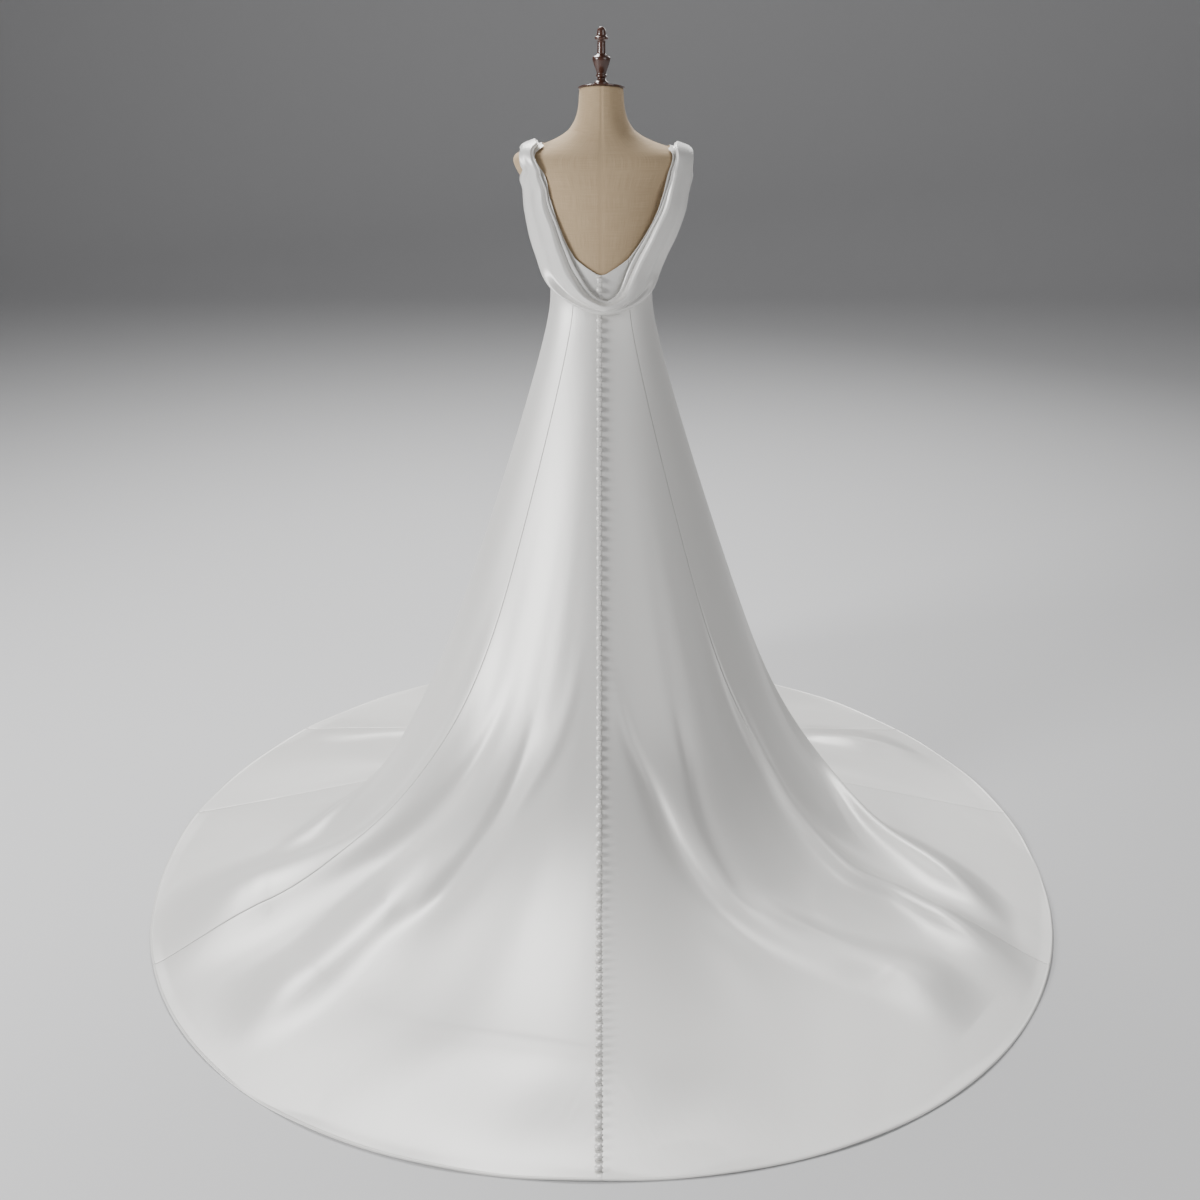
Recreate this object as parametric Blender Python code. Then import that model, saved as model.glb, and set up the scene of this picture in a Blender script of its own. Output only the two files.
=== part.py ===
"""Wedding dress with a cowl back and a round train, standing on a dress form.

Metres, +Z up, floor at z = 0. The form's pole stands on the origin and the back of the dress faces -Y.
Every cloth piece is a thin closed wall, worked out from one surface for the whole dress: a point of it
is named by an angle round the dress, 0 at the centre back and 180 at the centre front, and by its place
between the top edge, the waist, the landing on the floor and the hem.
"""
import math

import bpy
import bmesh
import numpy as np

# Cloth
WALL = 0.002
SEAM_GAP = 0.0003
WAIST_HEIGHT = 1.15

# Hem on the floor: an oval round HEM_CENTRE_Y, a little squarer at the train's end
HEM_CENTRE_Y = -0.52
HEM_HALF_WIDTH = 0.96
HEM_HALF_LENGTH = 0.956
TRAIN_SQUARENESS = 2.15
FRONT_SQUARENESS = 2.0

# How a line of the skirt runs from the waist to the hem
WAIST_SOFTNESS = 0.05
LANDING_POWER = 8.0
SIDE_LAG = 1.10

# One row for each seam line, for the right half of the dress. slope is the run of the skirt for each
# metre of fall and spread the run of the landing. top_angle is where the seam ends above.
SEAM_COLUMNS = ("hem_angle", "waist_angle", "slope", "spread", "top_angle")
SEAMS = {
    "centre_back": (0, 0, 0.48, 0.58, 0),
    "princess_back": (65, 34, 0.44, 0.45, 28),
    "side": (99, 88, 0.40, 0.10, 90),
    "princess_front": (126, 128, 0.28, 0.05, 142),
    "centre_front": (180, 180, 0.25, 0.06, 180),
}

# Top of the panels: the shallow V at the back, the line on which the straps start, and the neckline
TOP_COLUMNS = ("hem_angle", "top")
TOP_EDGE = (
    (0, 1.200),
    (22, 1.203),
    (44, 1.211),
    (55, 1.220),
    (65, 1.236),
    (82, 1.282),
    (99, 1.335),
    (126, 1.388),
    (180, 1.388),
)

# Rows and columns of the gores' walls
FALL_ROWS = 17
FLOOR_ROWS = 4
BODICE_ROWS = 6
STRAP_ROWS = 9
GORES = (
    # name, inner seam, outer seam, columns
    ("back", "centre_back", "princess_back", 12),
    ("side_back", "princess_back", "side", 5),
    ("side_front", "side", "princess_front", 5),
)
FRONT_COLUMNS = 13

# Largest folds of the skirt, as soft ridges: the places of the crest as (line, hem angle) pairs, the
# half width in degrees and the height. Line 0 is the waist, 1 the landing and 2 the hem, and angles left
# of the centre back are negative.
FOLDS = (
    (((0.35, -66), (0.80, -66), (1.00, -70), (1.50, -70), (2.15, -69)), 12, 0.026),
    (((0.45, -44), (0.68, -47), (0.86, -50), (1.10, -48), (1.85, -49)), 8, 0.018),
    (((0.40, -8), (1.15, -8), (1.90, -10)), 32, 0.030),
    (((0.45, 20), (0.62, 27), (0.80, 33), (0.94, 43), (1.15, 49), (1.80, 50)), 8, 0.016),
    (((0.45, 66), (0.70, 62), (0.85, 60), (1.00, 63), (1.50, 62), (2.05, 61)), 7, 0.014),
    (((0.50, 95), (0.73, 92), (0.87, 81), (1.00, 76), (1.33, 73), (1.75, 69)), 8, 0.022),
    (((1.15, 122), (1.90, 117)), 9, 0.012),
    (((0.20, -150), (1.60, -148)), 14, 0.012),
    (((0.20, 156), (1.60, 152)), 14, 0.012),
    (((0.25, -176), (1.50, -175)), 10, 0.008),
)

# The form's rings: height, half width, depth behind and in front of the pole's axis, and how far
# outside the form the cloth lies at the side, the back and the front
RING_COLUMNS = ("height", "half_width", "back", "front", "side_ease", "back_ease", "front_ease")
RINGS = (
    (0.880, 0.150, 0.104, 0.096, 0.0200, 0.0200, 0.0200),
    (0.940, 0.144, 0.102, 0.096, 0.0200, 0.0200, 0.0200),
    (1.000, 0.130, 0.094, 0.090, 0.0200, 0.0200, 0.0200),
    (1.060, 0.115, 0.082, 0.084, 0.0180, 0.0200, 0.0200),
    (1.110, 0.107, 0.079, 0.081, 0.0100, 0.0120, 0.0100),
    (1.150, 0.105, 0.078, 0.080, 0.0080, 0.0050, 0.0050),
    (1.190, 0.108, 0.080, 0.085, 0.0080, 0.0028, 0.0050),
    (1.230, 0.120, 0.084, 0.094, 0.0100, 0.0028, 0.0050),
    (1.280, 0.139, 0.089, 0.108, 0.0130, 0.0028, 0.0050),
    (1.330, 0.152, 0.093, 0.118, 0.0140, 0.0028, 0.0055),
    (1.380, 0.163, 0.095, 0.114, 0.0125, 0.0028, 0.0055),
    (1.412, 0.184, 0.092, 0.098, 0.0050, 0.0028, 0.0045),
    (1.434, 0.192, 0.087, 0.086, 0.0048, 0.0046, 0.0040),
    (1.448, 0.184, 0.081, 0.078, 0.0048, 0.0050, 0.0036),
    (1.458, 0.158, 0.075, 0.071, 0.0028, 0.0034, 0.0026),
    (1.467, 0.128, 0.070, 0.065, 0.0018, 0.0020, 0.0020),
    (1.478, 0.100, 0.064, 0.060, 0.0012, 0.0012, 0.0012),
    (1.493, 0.075, 0.058, 0.055, 0.0012, 0.0012, 0.0012),
    (1.512, 0.060, 0.053, 0.051, 0.0012, 0.0012, 0.0012),
    (1.535, 0.0515, 0.049, 0.048, 0.0012, 0.0012, 0.0012),
    (1.578, 0.0470, 0.046, 0.046, 0.0012, 0.0012, 0.0012),
)
FORM_COLUMNS = 28
FORM_BOTTOM = 0.880
NECK_TILT = math.radians(12)
NECK_TILT_FROM = 1.520
NECK_TOP = 1.578

# The bodice hangs a little to the right of the form
LEAN = 0.010
LEAN_FROM = 1.20
LEAN_FULL = 1.36
DRIFT_FULL = 1.38
DRIFT_END = 1.44
SHOULDER_LOW = 1.43
SHOULDER_HIGH = 1.50

# Edges of the side panels above the line on which the straps start, as distances from the dress's
# centre line and heights
EDGE_COLUMNS = ("distance", "height")
NECK_EDGES = {
    "back": ((0.075, 1.260), (0.096, 1.299), (0.112, 1.337), (0.123, 1.373), (0.1325, 1.412)),
    "front": ((0.109, 1.403), (0.119, 1.418), (0.128, 1.431), (0.133, 1.442)),
}
ARM_EDGES = {
    "back": ((0.160, 1.362), (0.156, 1.390), (0.156, 1.412), (0.158, 1.430)),
    "front": ((0.160, 1.362), (0.157, 1.390), (0.157, 1.414), (0.159, 1.432)),
}
NECK_EDGE_TOP = 0.139
ARM_EDGE_TOP = 0.166
# Over the shoulder: angle, and how much nearer to the centre line the edge lies than at its top
NECK_OVER_SHOULDER = ((58, 0.0040), (70, 0.0020), (80, 0.0006), (90, 0.0))
ARM_OVER_SHOULDER = ((73, 0.0), (80, 0.0), (85, 0.0), (90, 0.0))

# The cowl's stations from the shoulder to the centre back: its inner edge beside the opening, its
# ridge and its lower edge, and how far each stands off the bodice
COWL_COLUMNS = ("inner", "inner_height", "ridge", "ridge_height", "lower", "lower_height",
                "inner_stand", "ridge_stand", "lower_stand")
COWL = (
    (0.1390, 1.424, 0.1460, 1.422, 0.179, 1.416, 0.0046, 0.010, 0.0045),
    (0.1355, 1.408, 0.1425, 1.404, 0.181, 1.398, 0.0036, 0.010, 0.0045),
    (0.123, 1.364, 0.131, 1.354, 0.174, 1.338, 0.0014, 0.012, 0.0050),
    (0.101, 1.308, 0.109, 1.298, 0.158, 1.278, 0.0012, 0.014, 0.0030),
    (0.078, 1.262, 0.088, 1.248, 0.134, 1.222, 0.0030, 0.018, 0.0010),
    (0.055, 1.217, 0.064, 1.197, 0.110, 1.177, 0.0060, 0.023, 0.0060),
    (0.031, 1.168, 0.038, 1.153, 0.072, 1.137, 0.0090, 0.028, 0.0120),
    (0.013, 1.149, 0.017, 1.135, 0.034, 1.118, 0.0110, 0.031, 0.0130),
    (0.000, 1.144, 0.000, 1.129, 0.000, 1.112, 0.0110, 0.032, 0.0130),
)
COWL_INNER_TOP = 0.1465
COWL_RIDGE_TOP = 0.1520
COWL_LOWER_TOP = 0.1790
COWL_LOWER_DOWN = 1.427
# On the right the band is wider towards the shoulder than on the left
COWL_WIDER = 0.0020
COWL_WIDER_FROM = 1.36
COWL_WIDER_FULL = 1.42
COWL_SHIFT = 0.010
COWL_SHIFT_FROM = 0.7
COWL_START_ANGLE = 88.5
COWL_STATIONS = 18
# Its section: across goes from -1 at the inner edge through 0 at the ridge to 1 at the lower edge, and
# rise from an edge's stand-off at 0 to the ridge's at 1
COWL_SECTION_COLUMNS = ("across", "rise")
COWL_SECTION = (
    (-1.00, 0.00),
    (-0.70, 0.18),
    (-0.45, 0.50),
    (-0.22, 0.86),
    (0.00, 1.00),
    (0.20, 0.93),
    (0.40, 0.76),
    (0.62, 0.78),
    (0.84, 0.50),
    (1.00, 0.00),
)

# Buttons down the centre back
BUTTON_PITCH = 0.022
BUTTON_RADIUS = 0.006
BUTTON_RISE = 0.0055
BUTTON_SINK = 0.0006
BUTTON_SIDES = 6
BUTTON_FIRST = 0.010
BUTTON_LAST = 0.012
PLACKET_WIDTH = 0.0085
PLACKET_THICKNESS = 0.0012
PLACKET_PIECES = ("opening", "hip", "skirt", "train")
PLACKET_ENDS = (BODICE_ROWS, BODICE_ROWS + 6, BODICE_ROWS + 13)

# The neck cap and the finial. A cap ring's tilt is its share of the neck's slope.
CAP_RADIUS = 0.0500
CAP_HEIGHT = 0.0110
CAP_COLUMNS = ("radius", "height", "tilt")
CAP_PROFILE = (
    (0.94, 0.00, 1.00),
    (1.00, 0.14, 1.00),
    (1.00, 0.33, 1.00),
    (0.94, 0.41, 0.90),
    (0.80, 0.68, 0.65),
    (0.55, 0.88, 0.35),
    (0.36, 1.00, 0.00),
)
CAP_SIDES = 20
FINIAL_HEIGHT = 0.113
# Radius, and height from 0 at the foot to 1 at the tip
FINIAL_PROFILE = (
    (0.0155, 0.000),
    (0.0155, 0.025),
    (0.0110, 0.060),
    (0.0085, 0.100),
    (0.0115, 0.130),
    (0.0118, 0.150),
    (0.0100, 0.180),
    (0.0115, 0.230),
    (0.0165, 0.350),
    (0.0192, 0.440),
    (0.0180, 0.480),
    (0.0110, 0.520),
    (0.0088, 0.560),
    (0.0085, 0.740),
    (0.0130, 0.780),
    (0.0140, 0.815),
    (0.0105, 0.850),
    (0.0095, 0.900),
    (0.0080, 0.960),
    (0.0045, 1.000),
)
FINIAL_SIDES = 14

# The stand
BASE_RADIUS = 0.170
BASE_THICKNESS = 0.012
BASE_BEVEL = 0.003
BASE_SIDES = 32
POLE_RADIUS = 0.0125
POLE_SIDES = 16
STAND_GAP = 0.0003

MATERIALS = {
    # name: red, green, blue, roughness, metallic
    "satin": (0.66, 0.65, 0.63, 0.35, 0.0),
    "linen": (0.42, 0.34, 0.25, 0.85, 0.0),
    "dark_wood": (0.055, 0.018, 0.010, 0.25, 0.0),
    "black_steel": (0.03, 0.03, 0.03, 0.45, 0.6),
}


def smooth(places, values, at):
    """Smooth curve through a table's column, read at any place, with no swing past its highest rows."""
    places = np.asarray(places, dtype=float)
    values = np.asarray(values, dtype=float)
    secants = np.diff(values) / np.diff(places)
    slopes = np.concatenate([secants[:1], (secants[1:] + secants[:-1]) / 2, secants[-1:]])
    turning = np.concatenate([[False], secants[1:] * secants[:-1] <= 0, [False]])
    slopes = np.where(turning, 0, slopes)
    row = np.clip(np.searchsorted(places, at) - 1, 0, len(places) - 2)
    step = places[row + 1] - places[row]
    t = np.clip((at - places[row]) / step, 0, 1)
    before = (1 + 2 * t) * (1 - t) ** 2
    after = t * t * (3 - 2 * t)
    leaving = step * t * (1 - t) ** 2
    arriving = step * t * t * (t - 1)
    return before * values[row] + after * values[row + 1] + leaving * slopes[row] + arriving * slopes[row + 1]


def ramp(value, start, end):
    """Soft step from 0 at start to 1 at end."""
    t = np.clip((value - start) / (end - start), 0, 1)
    return t * t * (3 - 2 * t)


def unit(vectors):
    return vectors / np.linalg.norm(vectors, axis=-1, keepdims=True)


def column(rows, names, name):
    """One named column of a table, as an array."""
    index = names.index(name)
    return np.array([row[index] for row in rows], dtype=float)


def seam_value(name, hem_angle):
    rows = list(SEAMS.values())
    hem_angles = column(rows, SEAM_COLUMNS, "hem_angle")
    return smooth(hem_angles, column(rows, SEAM_COLUMNS, name), np.abs(hem_angle))


def top_value(hem_angle):
    heights = column(TOP_EDGE, TOP_COLUMNS, "top")
    return smooth(column(TOP_EDGE, TOP_COLUMNS, "hem_angle"), heights, np.abs(hem_angle))


def ring_value(name, height):
    return smooth(column(RINGS, RING_COLUMNS, "height"), column(RINGS, RING_COLUMNS, name), height)


def normals_of(surface, first, second, step=1e-4):
    """Unit normals of a surface of two values, pointing out of the dress."""
    along_first = surface(first + step, second) - surface(first - step, second)
    along_second = surface(first, second + step) - surface(first, second - step)
    return unit(np.cross(along_first, along_second))


def form_point(angle, height):
    """Point of the form: an oval ring at a height, deeper or flatter behind and in front."""
    turn = np.radians(angle)
    depth = np.where(np.cos(turn) > 0, ring_value("back", height), ring_value("front", height))
    x = ring_value("half_width", height) * np.sin(turn)
    y = -depth * np.cos(turn)
    lift = np.tan(NECK_TILT) * ramp(height, NECK_TILT_FROM, NECK_TOP)
    return np.stack([x, y, height - lift * y], axis=-1)


def form_normal(angle, height):
    turn = np.radians(angle)
    outward = normals_of(form_point, angle, height, 1e-3)
    radial = np.stack([np.sin(turn), -np.cos(turn), 0 * turn], axis=-1)
    facing = np.sign(np.sum(outward * radial, axis=-1, keepdims=True))
    return outward * np.where(facing == 0, 1, facing)


def bodice_point(angle, height):
    """Inner face of the cloth above the waist: the form's surface, moved out by the ease."""
    angle, height = np.broadcast_arrays(np.asarray(angle, dtype=float), np.asarray(height, dtype=float))
    side = np.sin(np.radians(angle)) ** 2
    end_ease = np.where(np.cos(np.radians(angle)) > 0, ring_value("back_ease", height),
                        ring_value("front_ease", height))
    ease = end_ease + (ring_value("side_ease", height) - end_ease) * side
    point = form_point(angle, height) + form_normal(angle, height) * ease[..., None]
    point[..., 0] += lean_at(height) * (1 - ramp(height, DRIFT_FULL, DRIFT_END))
    return point


def bodice_normal(angle, height):
    angle, height = np.broadcast_arrays(np.asarray(angle, dtype=float), np.asarray(height, dtype=float))
    outward = normals_of(bodice_point, angle, height, 1e-3)
    facing = np.sign(np.sum(outward * form_normal(angle, height), axis=-1, keepdims=True))
    return outward * np.where(facing == 0, 1, facing)


def lean_at(height):
    """How far the dress's centre line lies to the right."""
    return LEAN * ramp(height, LEAN_FROM, LEAN_FULL)


def angle_at(side, distance, height, front=False):
    """Angle at which the bodice is that far from the dress's centre line, on one side."""
    angles = np.linspace(0, 90, 181)
    places = bodice_point(side * angles, np.full_like(angles, height))[:, 0] * side
    target = distance + side * lean_at(height)
    angle = np.interp(target, np.maximum.accumulate(places), angles)
    return 180 - angle if front else angle


def height_at(side, distance, angle):
    """Height on the shoulder at which the bodice reaches that distance at an angle."""
    heights = np.linspace(SHOULDER_LOW, SHOULDER_HIGH, 141)
    places = bodice_point(np.full_like(heights, side * angle), heights)[:, 0] * side
    return np.interp(-(distance + side * LEAN), -places, heights)


def hem_point(hem_angle):
    """Hem in plan, an oval whose squareness changes from the train to the front."""
    turn = np.radians(hem_angle)
    power = np.where(np.cos(turn) > 0, TRAIN_SQUARENESS, FRONT_SQUARENESS)
    across = np.abs(np.sin(turn)) / HEM_HALF_WIDTH
    along = np.abs(np.cos(turn)) / HEM_HALF_LENGTH
    reach = (across ** power + along ** power) ** (-1 / power)
    return np.stack([reach * np.sin(turn), HEM_CENTRE_Y - reach * np.cos(turn)], axis=-1)


def plain_skirt(hem_angle, line):
    """Inner face of the skirt without folds, line 0 at the waist, 1 at the landing and 2 at the hem."""
    hem_angle, line = np.broadcast_arrays(np.asarray(hem_angle, dtype=float), np.asarray(line, dtype=float))
    hem_angle = (hem_angle + 180) % 360 - 180
    sign = np.where(hem_angle < 0, -1.0, 1.0)
    waist = bodice_point(sign * seam_value("waist_angle", hem_angle), np.full_like(line, WAIST_HEIGHT))
    hem = hem_point(hem_angle)
    way = hem - waist[..., :2]
    reach = np.linalg.norm(way, axis=-1)
    share = np.clip(line, 0, 1)
    fallen = WAIST_HEIGHT * (1 - (1 - share) ** 2)
    slope = seam_value("slope", hem_angle)
    spread = seam_value("spread", hem_angle)
    flare = np.sqrt(fallen ** 2 + WAIST_SOFTNESS ** 2) - WAIST_SOFTNESS
    full_flare = math.hypot(WAIST_HEIGHT, WAIST_SOFTNESS) - WAIST_SOFTNESS
    landing = 1 - np.sqrt(np.clip(1 - (fallen / WAIST_HEIGHT) ** LANDING_POWER, 0, 1))
    landed = slope * full_flare + spread
    run = slope * flare + spread * landing + (reach - landed) * np.clip(line - 1, 0, 1)
    done = run / reach
    x = waist[..., 0] + way[..., 0] * done ** SIDE_LAG
    y = waist[..., 1] + way[..., 1] * done
    z = waist[..., 2] * (1 - share) ** 2
    return np.stack([x, y, z], axis=-1)


def fold_height(hem_angle, line):
    """Sum of the folds, each highest near the middle of its crest."""
    total = np.zeros(np.broadcast(hem_angle, line).shape)
    for places, half_width, height in FOLDS:
        lines, angles = np.array(places, dtype=float).T
        along = np.clip((line - lines[0]) / (lines[-1] - lines[0]), 0, 1)
        away = (hem_angle - smooth(lines, angles, line) + 180) % 360 - 180
        across = np.clip(away / half_width, -1, 1)
        length_share = ramp(along, 0, 0.45) * (1 - ramp(along, 0.5, 1))
        total = total + height * np.cos(across * np.pi / 2) ** 2 * length_share
    return total


def skirt_normal(surface, hem_angle, line):
    """Unit normals of the skirt, out of it where it falls and up where it lies."""
    step = 1e-3
    return -normals_of(surface, hem_angle, np.clip(line, step, 2 - step), step)


def folded_skirt(hem_angle, line):
    """Inner face of the skirt with its folds, nowhere below the floor."""
    hem_angle, line = np.broadcast_arrays(hem_angle, line)
    point = plain_skirt(hem_angle, line)
    point += skirt_normal(plain_skirt, hem_angle, line) * fold_height(hem_angle, line)[..., None]
    point[..., 2] = np.maximum(point[..., 2], 0)
    return point


def skirt_grid(hem_angles, lines):
    """Inner and outer face of the skirt, as rows of points."""
    angle, line = np.meshgrid(hem_angles, lines)
    inner = folded_skirt(angle, line)
    return inner, inner + skirt_normal(folded_skirt, angle, line) * WALL


def bodice_grid(hem_angles):
    """Inner and outer face from the waist, not counted, up to the line on which the straps start."""
    share = np.arange(1, BODICE_ROWS + 1)[:, None] / BODICE_ROWS
    sign = np.where(hem_angles < 0, -1.0, 1.0)
    low = seam_value("waist_angle", hem_angles)
    high = seam_value("top_angle", hem_angles)
    angle = sign * (low + (high - low) * share)
    height = WAIST_HEIGHT + (top_value(hem_angles) - WAIST_HEIGHT) * share
    inner = bodice_point(angle, height)
    return inner, inner + bodice_normal(angle, height) * WALL


def shoulder_edge(side, start, points, top_distance, over_angles, front):
    """Edge of a side panel from the strap line over to the shoulder seam, as angles and heights."""
    path = [start]
    for distance, height in points:
        path.append((angle_at(side, distance, height, front), height))
    for angle, nearer in over_angles:
        path.append((180 - angle if front else angle, height_at(side, top_distance - nearer, angle)))
    path = np.array(path, dtype=float)
    place = bodice_point(side * path[:, 0], path[:, 1])
    run = np.concatenate([[0], np.cumsum(np.linalg.norm(np.diff(place, axis=0), axis=1))])
    at = np.linspace(0, run[-1], STRAP_ROWS + 1)[1:]
    return smooth(run, path[:, 0], at), smooth(run, path[:, 1], at)


def strap_grid(side, hem_angles, front):
    """Inner and outer face of a side panel between neck edge and armhole, up to the shoulder seam."""
    end = "front" if front else "back"
    neck_seam = SEAMS[f"princess_{end}"]
    neck_start = (neck_seam[-1], float(top_value(neck_seam[0])))
    arm_start = (SEAMS["side"][-1], float(top_value(SEAMS["side"][0])))
    neck = shoulder_edge(side, neck_start, NECK_EDGES[end], NECK_EDGE_TOP, NECK_OVER_SHOULDER, front)
    arm = shoulder_edge(side, arm_start, ARM_EDGES[end], ARM_EDGE_TOP, ARM_OVER_SHOULDER, front)
    share = np.linspace(0, 1, len(hem_angles))
    if front:
        share = 1 - share
    angle = side * (neck[0][:, None] + (arm[0] - neck[0])[:, None] * share)
    height = neck[1][:, None] + (arm[1] - neck[1])[:, None] * share
    inner = bodice_point(angle, height)
    return inner, inner + bodice_normal(angle, height) * WALL


def seam_allowance(grid, top):
    """The two seam edges of a grid, and its top edge where that is sewn too, drawn in by half a gap."""
    drawn = grid.copy()
    half = SEAM_GAP / 2
    drawn[:, 0] += unit(grid[:, 1] - grid[:, 0]) * half
    drawn[:, -1] += unit(grid[:, -2] - grid[:, -1]) * half
    if top:
        drawn[-1] += unit(grid[-2] - grid[-1]) * half
    return drawn


def skirt_lines():
    fall = np.linspace(1, 0, FALL_ROWS + 1) ** 1.3
    floor = np.linspace(2, 1, FLOOR_ROWS + 1)[:-1]
    return np.concatenate([floor, fall])


def gore_faces(side, name, angles):
    """Inner and outer points of one gore, its rows from the hem up."""
    low_inner, low_outer = skirt_grid(angles, skirt_lines())
    high_inner, high_outer = bodice_grid(angles)
    inner = [low_inner, high_inner]
    outer = [low_outer, high_outer]
    waist_angle = np.where(angles < 0, -1.0, 1.0) * seam_value("waist_angle", angles)
    waist_outward = bodice_normal(waist_angle, np.full_like(angles, WAIST_HEIGHT))
    outer[0][-1] = inner[0][-1] + waist_outward * WALL
    if name.startswith("side"):
        strap_inner, strap_outer = strap_grid(side, angles, name == "side_front")
        inner.append(strap_inner)
        outer.append(strap_outer)
    return np.concatenate(inner), np.concatenate(outer)


def material(name):
    red, green, blue, roughness, metallic = MATERIALS[name]
    made = bpy.data.materials.get(name) or bpy.data.materials.new(name)
    made.use_nodes = True
    shader = made.node_tree.nodes["Principled BSDF"]
    shader.inputs["Base Color"].default_value = (red, green, blue, 1)
    shader.inputs["Roughness"].default_value = roughness
    shader.inputs["Metallic"].default_value = metallic
    return made


def add_object(name, mesh_maker, slot):
    """Object from a bmesh, with its faces turned out, its material and its parent."""
    mesh = bpy.data.meshes.new(name)
    mesh_maker.normal_update()
    bmesh.ops.recalc_face_normals(mesh_maker, faces=mesh_maker.faces)
    mesh_maker.to_mesh(mesh)
    mesh_maker.free()
    mesh.materials.append(material(slot))
    mesh.shade_smooth()
    mesh.set_sharp_from_angle(angle=math.radians(40))
    made = bpy.data.objects.new(name, mesh)
    bpy.context.scene.collection.objects.link(made)
    made.parent = bpy.data.objects["wedding_dress"]
    return made


def wall_mesh(inner, outer):
    """Closed wall between two grids of points."""
    mesh = bmesh.new()
    rows, columns = inner.shape[:2]
    faces = []
    for grid in (inner, outer):
        faces.append([[mesh.verts.new(point) for point in row] for row in grid.tolist()])
    for sheet in faces:
        for i in range(rows - 1):
            for j in range(columns - 1):
                mesh.faces.new((sheet[i][j], sheet[i][j + 1], sheet[i + 1][j + 1], sheet[i + 1][j]))
    low, high = faces
    bottom_and_top = [((i, j), (i, j + 1)) for i in (0, rows - 1) for j in range(columns - 1)]
    sides = [((i, j), (i + 1, j)) for j in (0, columns - 1) for i in range(rows - 1)]
    for (a, b), (c, d) in bottom_and_top + sides:
        mesh.faces.new((low[a][b], low[c][d], high[c][d]))
        mesh.faces.new((low[a][b], high[c][d], high[a][b]))
    return mesh


def turned_mesh(profile, sides):
    """Closed turned solid from radius and height pairs, foot first."""
    mesh = bmesh.new()
    rings = []
    for radius, height in profile:
        ring = []
        for k in range(sides):
            turn = 2 * math.pi * k / sides
            ring.append(mesh.verts.new((radius * math.cos(turn), radius * math.sin(turn), height)))
        rings.append(ring)
    for low, high in zip(rings, rings[1:]):
        for k in range(sides):
            mesh.faces.new((low[k], low[(k + 1) % sides], high[(k + 1) % sides], high[k]))
    mesh.faces.new(rings[0][::-1])
    mesh.faces.new(rings[-1])
    return mesh


def make_gores():
    """The six side gores, cut as mirrored pairs, and the centre front on the fold."""
    outer_faces = {}
    for side, hand in ((-1, "left"), (1, "right")):
        for name, inner_seam, outer_seam, columns in GORES:
            angles = side * np.linspace(SEAMS[inner_seam][0], SEAMS[outer_seam][0], columns + 1)
            inner, outer = gore_faces(side, name, angles)
            sewn_top = name.startswith("side")
            inner = seam_allowance(inner, sewn_top)
            outer = seam_allowance(outer, sewn_top)
            add_object(f"{name}_{hand}", wall_mesh(inner, outer), "satin")
            outer_faces[f"{name}_{hand}"] = outer
    edge = SEAMS["princess_front"][0]
    angles = (np.linspace(edge, 360 - edge, FRONT_COLUMNS + 1) + 180) % 360 - 180
    inner, outer = gore_faces(1, "front", angles)
    add_object("front", wall_mesh(seam_allowance(inner, False), seam_allowance(outer, False)), "satin")
    return outer_faces


def cowl_path(side):
    """Angles, heights and stand-offs of the cowl's three lines, from one shoulder to the centre back."""
    stations = [dict(zip(COWL_COLUMNS, row)) for row in COWL]
    tops = {"inner": COWL_INNER_TOP, "ridge": COWL_RIDGE_TOP, "lower": COWL_LOWER_TOP + side * COWL_WIDER}
    path = []
    for name, top in tops.items():
        stand = stations[0][f"{name}_stand"]
        line = [(side * COWL_START_ANGLE, height_at(side, top, COWL_START_ANGLE), stand)]
        downwards = np.linspace(line[0][1], COWL_LOWER_DOWN, len(NECK_OVER_SHOULDER))
        for (angle, nearer), height in zip(NECK_OVER_SHOULDER[-2::-1], downwards[1:]):
            if name == "lower":
                line.append((side * angle_at(side, top, height), height, stand))
            else:
                line.append((side * angle, height_at(side, top - nearer, angle), stand))
        for at in stations:
            height = at[f"{name}_height"]
            distance = at[name]
            if name == "lower":
                distance += side * COWL_WIDER * ramp(height, COWL_WIDER_FROM, COWL_WIDER_FULL)
            line.append((side * angle_at(side, distance, height), height, at[f"{name}_stand"]))
        path.append(line)
    return np.array(path, dtype=float)


def cowl_grid():
    """Inner points of the cowl, its rows from the left shoulder to the right one."""
    path = np.concatenate([cowl_path(-1), cowl_path(1)[:, -2::-1]], axis=1)
    place = bodice_point(path[1, :, 0], path[1, :, 1])
    run = np.concatenate([[0], np.cumsum(np.linalg.norm(np.diff(place, axis=0), axis=1))])
    at = np.linspace(0, run[-1], 2 * COWL_STATIONS + 1)
    inner, ridge, lower = [np.stack([smooth(run, line[:, k], at) for k in range(3)]) for line in path]
    across = column(COWL_SECTION, COWL_SECTION_COLUMNS, "across")
    rise = column(COWL_SECTION, COWL_SECTION_COLUMNS, "rise")
    outside = (across > 0)[:, None, None]
    edge = np.where(outside, lower, inner)
    share = np.abs(across)[:, None]
    angle, height = [ridge[k] + (edge[:, k] - ridge[k]) * share for k in (0, 1)]
    off = WALL + edge[:, 2] + (ridge[2] - edge[:, 2]) * rise[:, None]
    point = bodice_point(angle, height) + bodice_normal(angle, height) * off[..., None]
    from_shoulder = 1 - np.abs(2 * at / run[-1] - 1)
    point[..., 0] += COWL_SHIFT * ramp(from_shoulder, COWL_SHIFT_FROM, 1)
    return point.transpose(1, 0, 2)


def make_cowl():
    """One bias piece from shoulder to shoulder, hanging in a U over the open back."""
    inner = cowl_grid()
    along = np.gradient(inner, axis=0)
    across = np.gradient(inner, axis=1)
    facing = unit(np.cross(across, along))
    outward_at_edge = inner[:, -1] * np.array([1, 1, 0])
    turn = np.sign(np.sum(facing[:, -1] * outward_at_edge, axis=-1))[:, None, None]
    add_object("cowl", wall_mesh(inner, inner + facing * turn * WALL), "satin")


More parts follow.
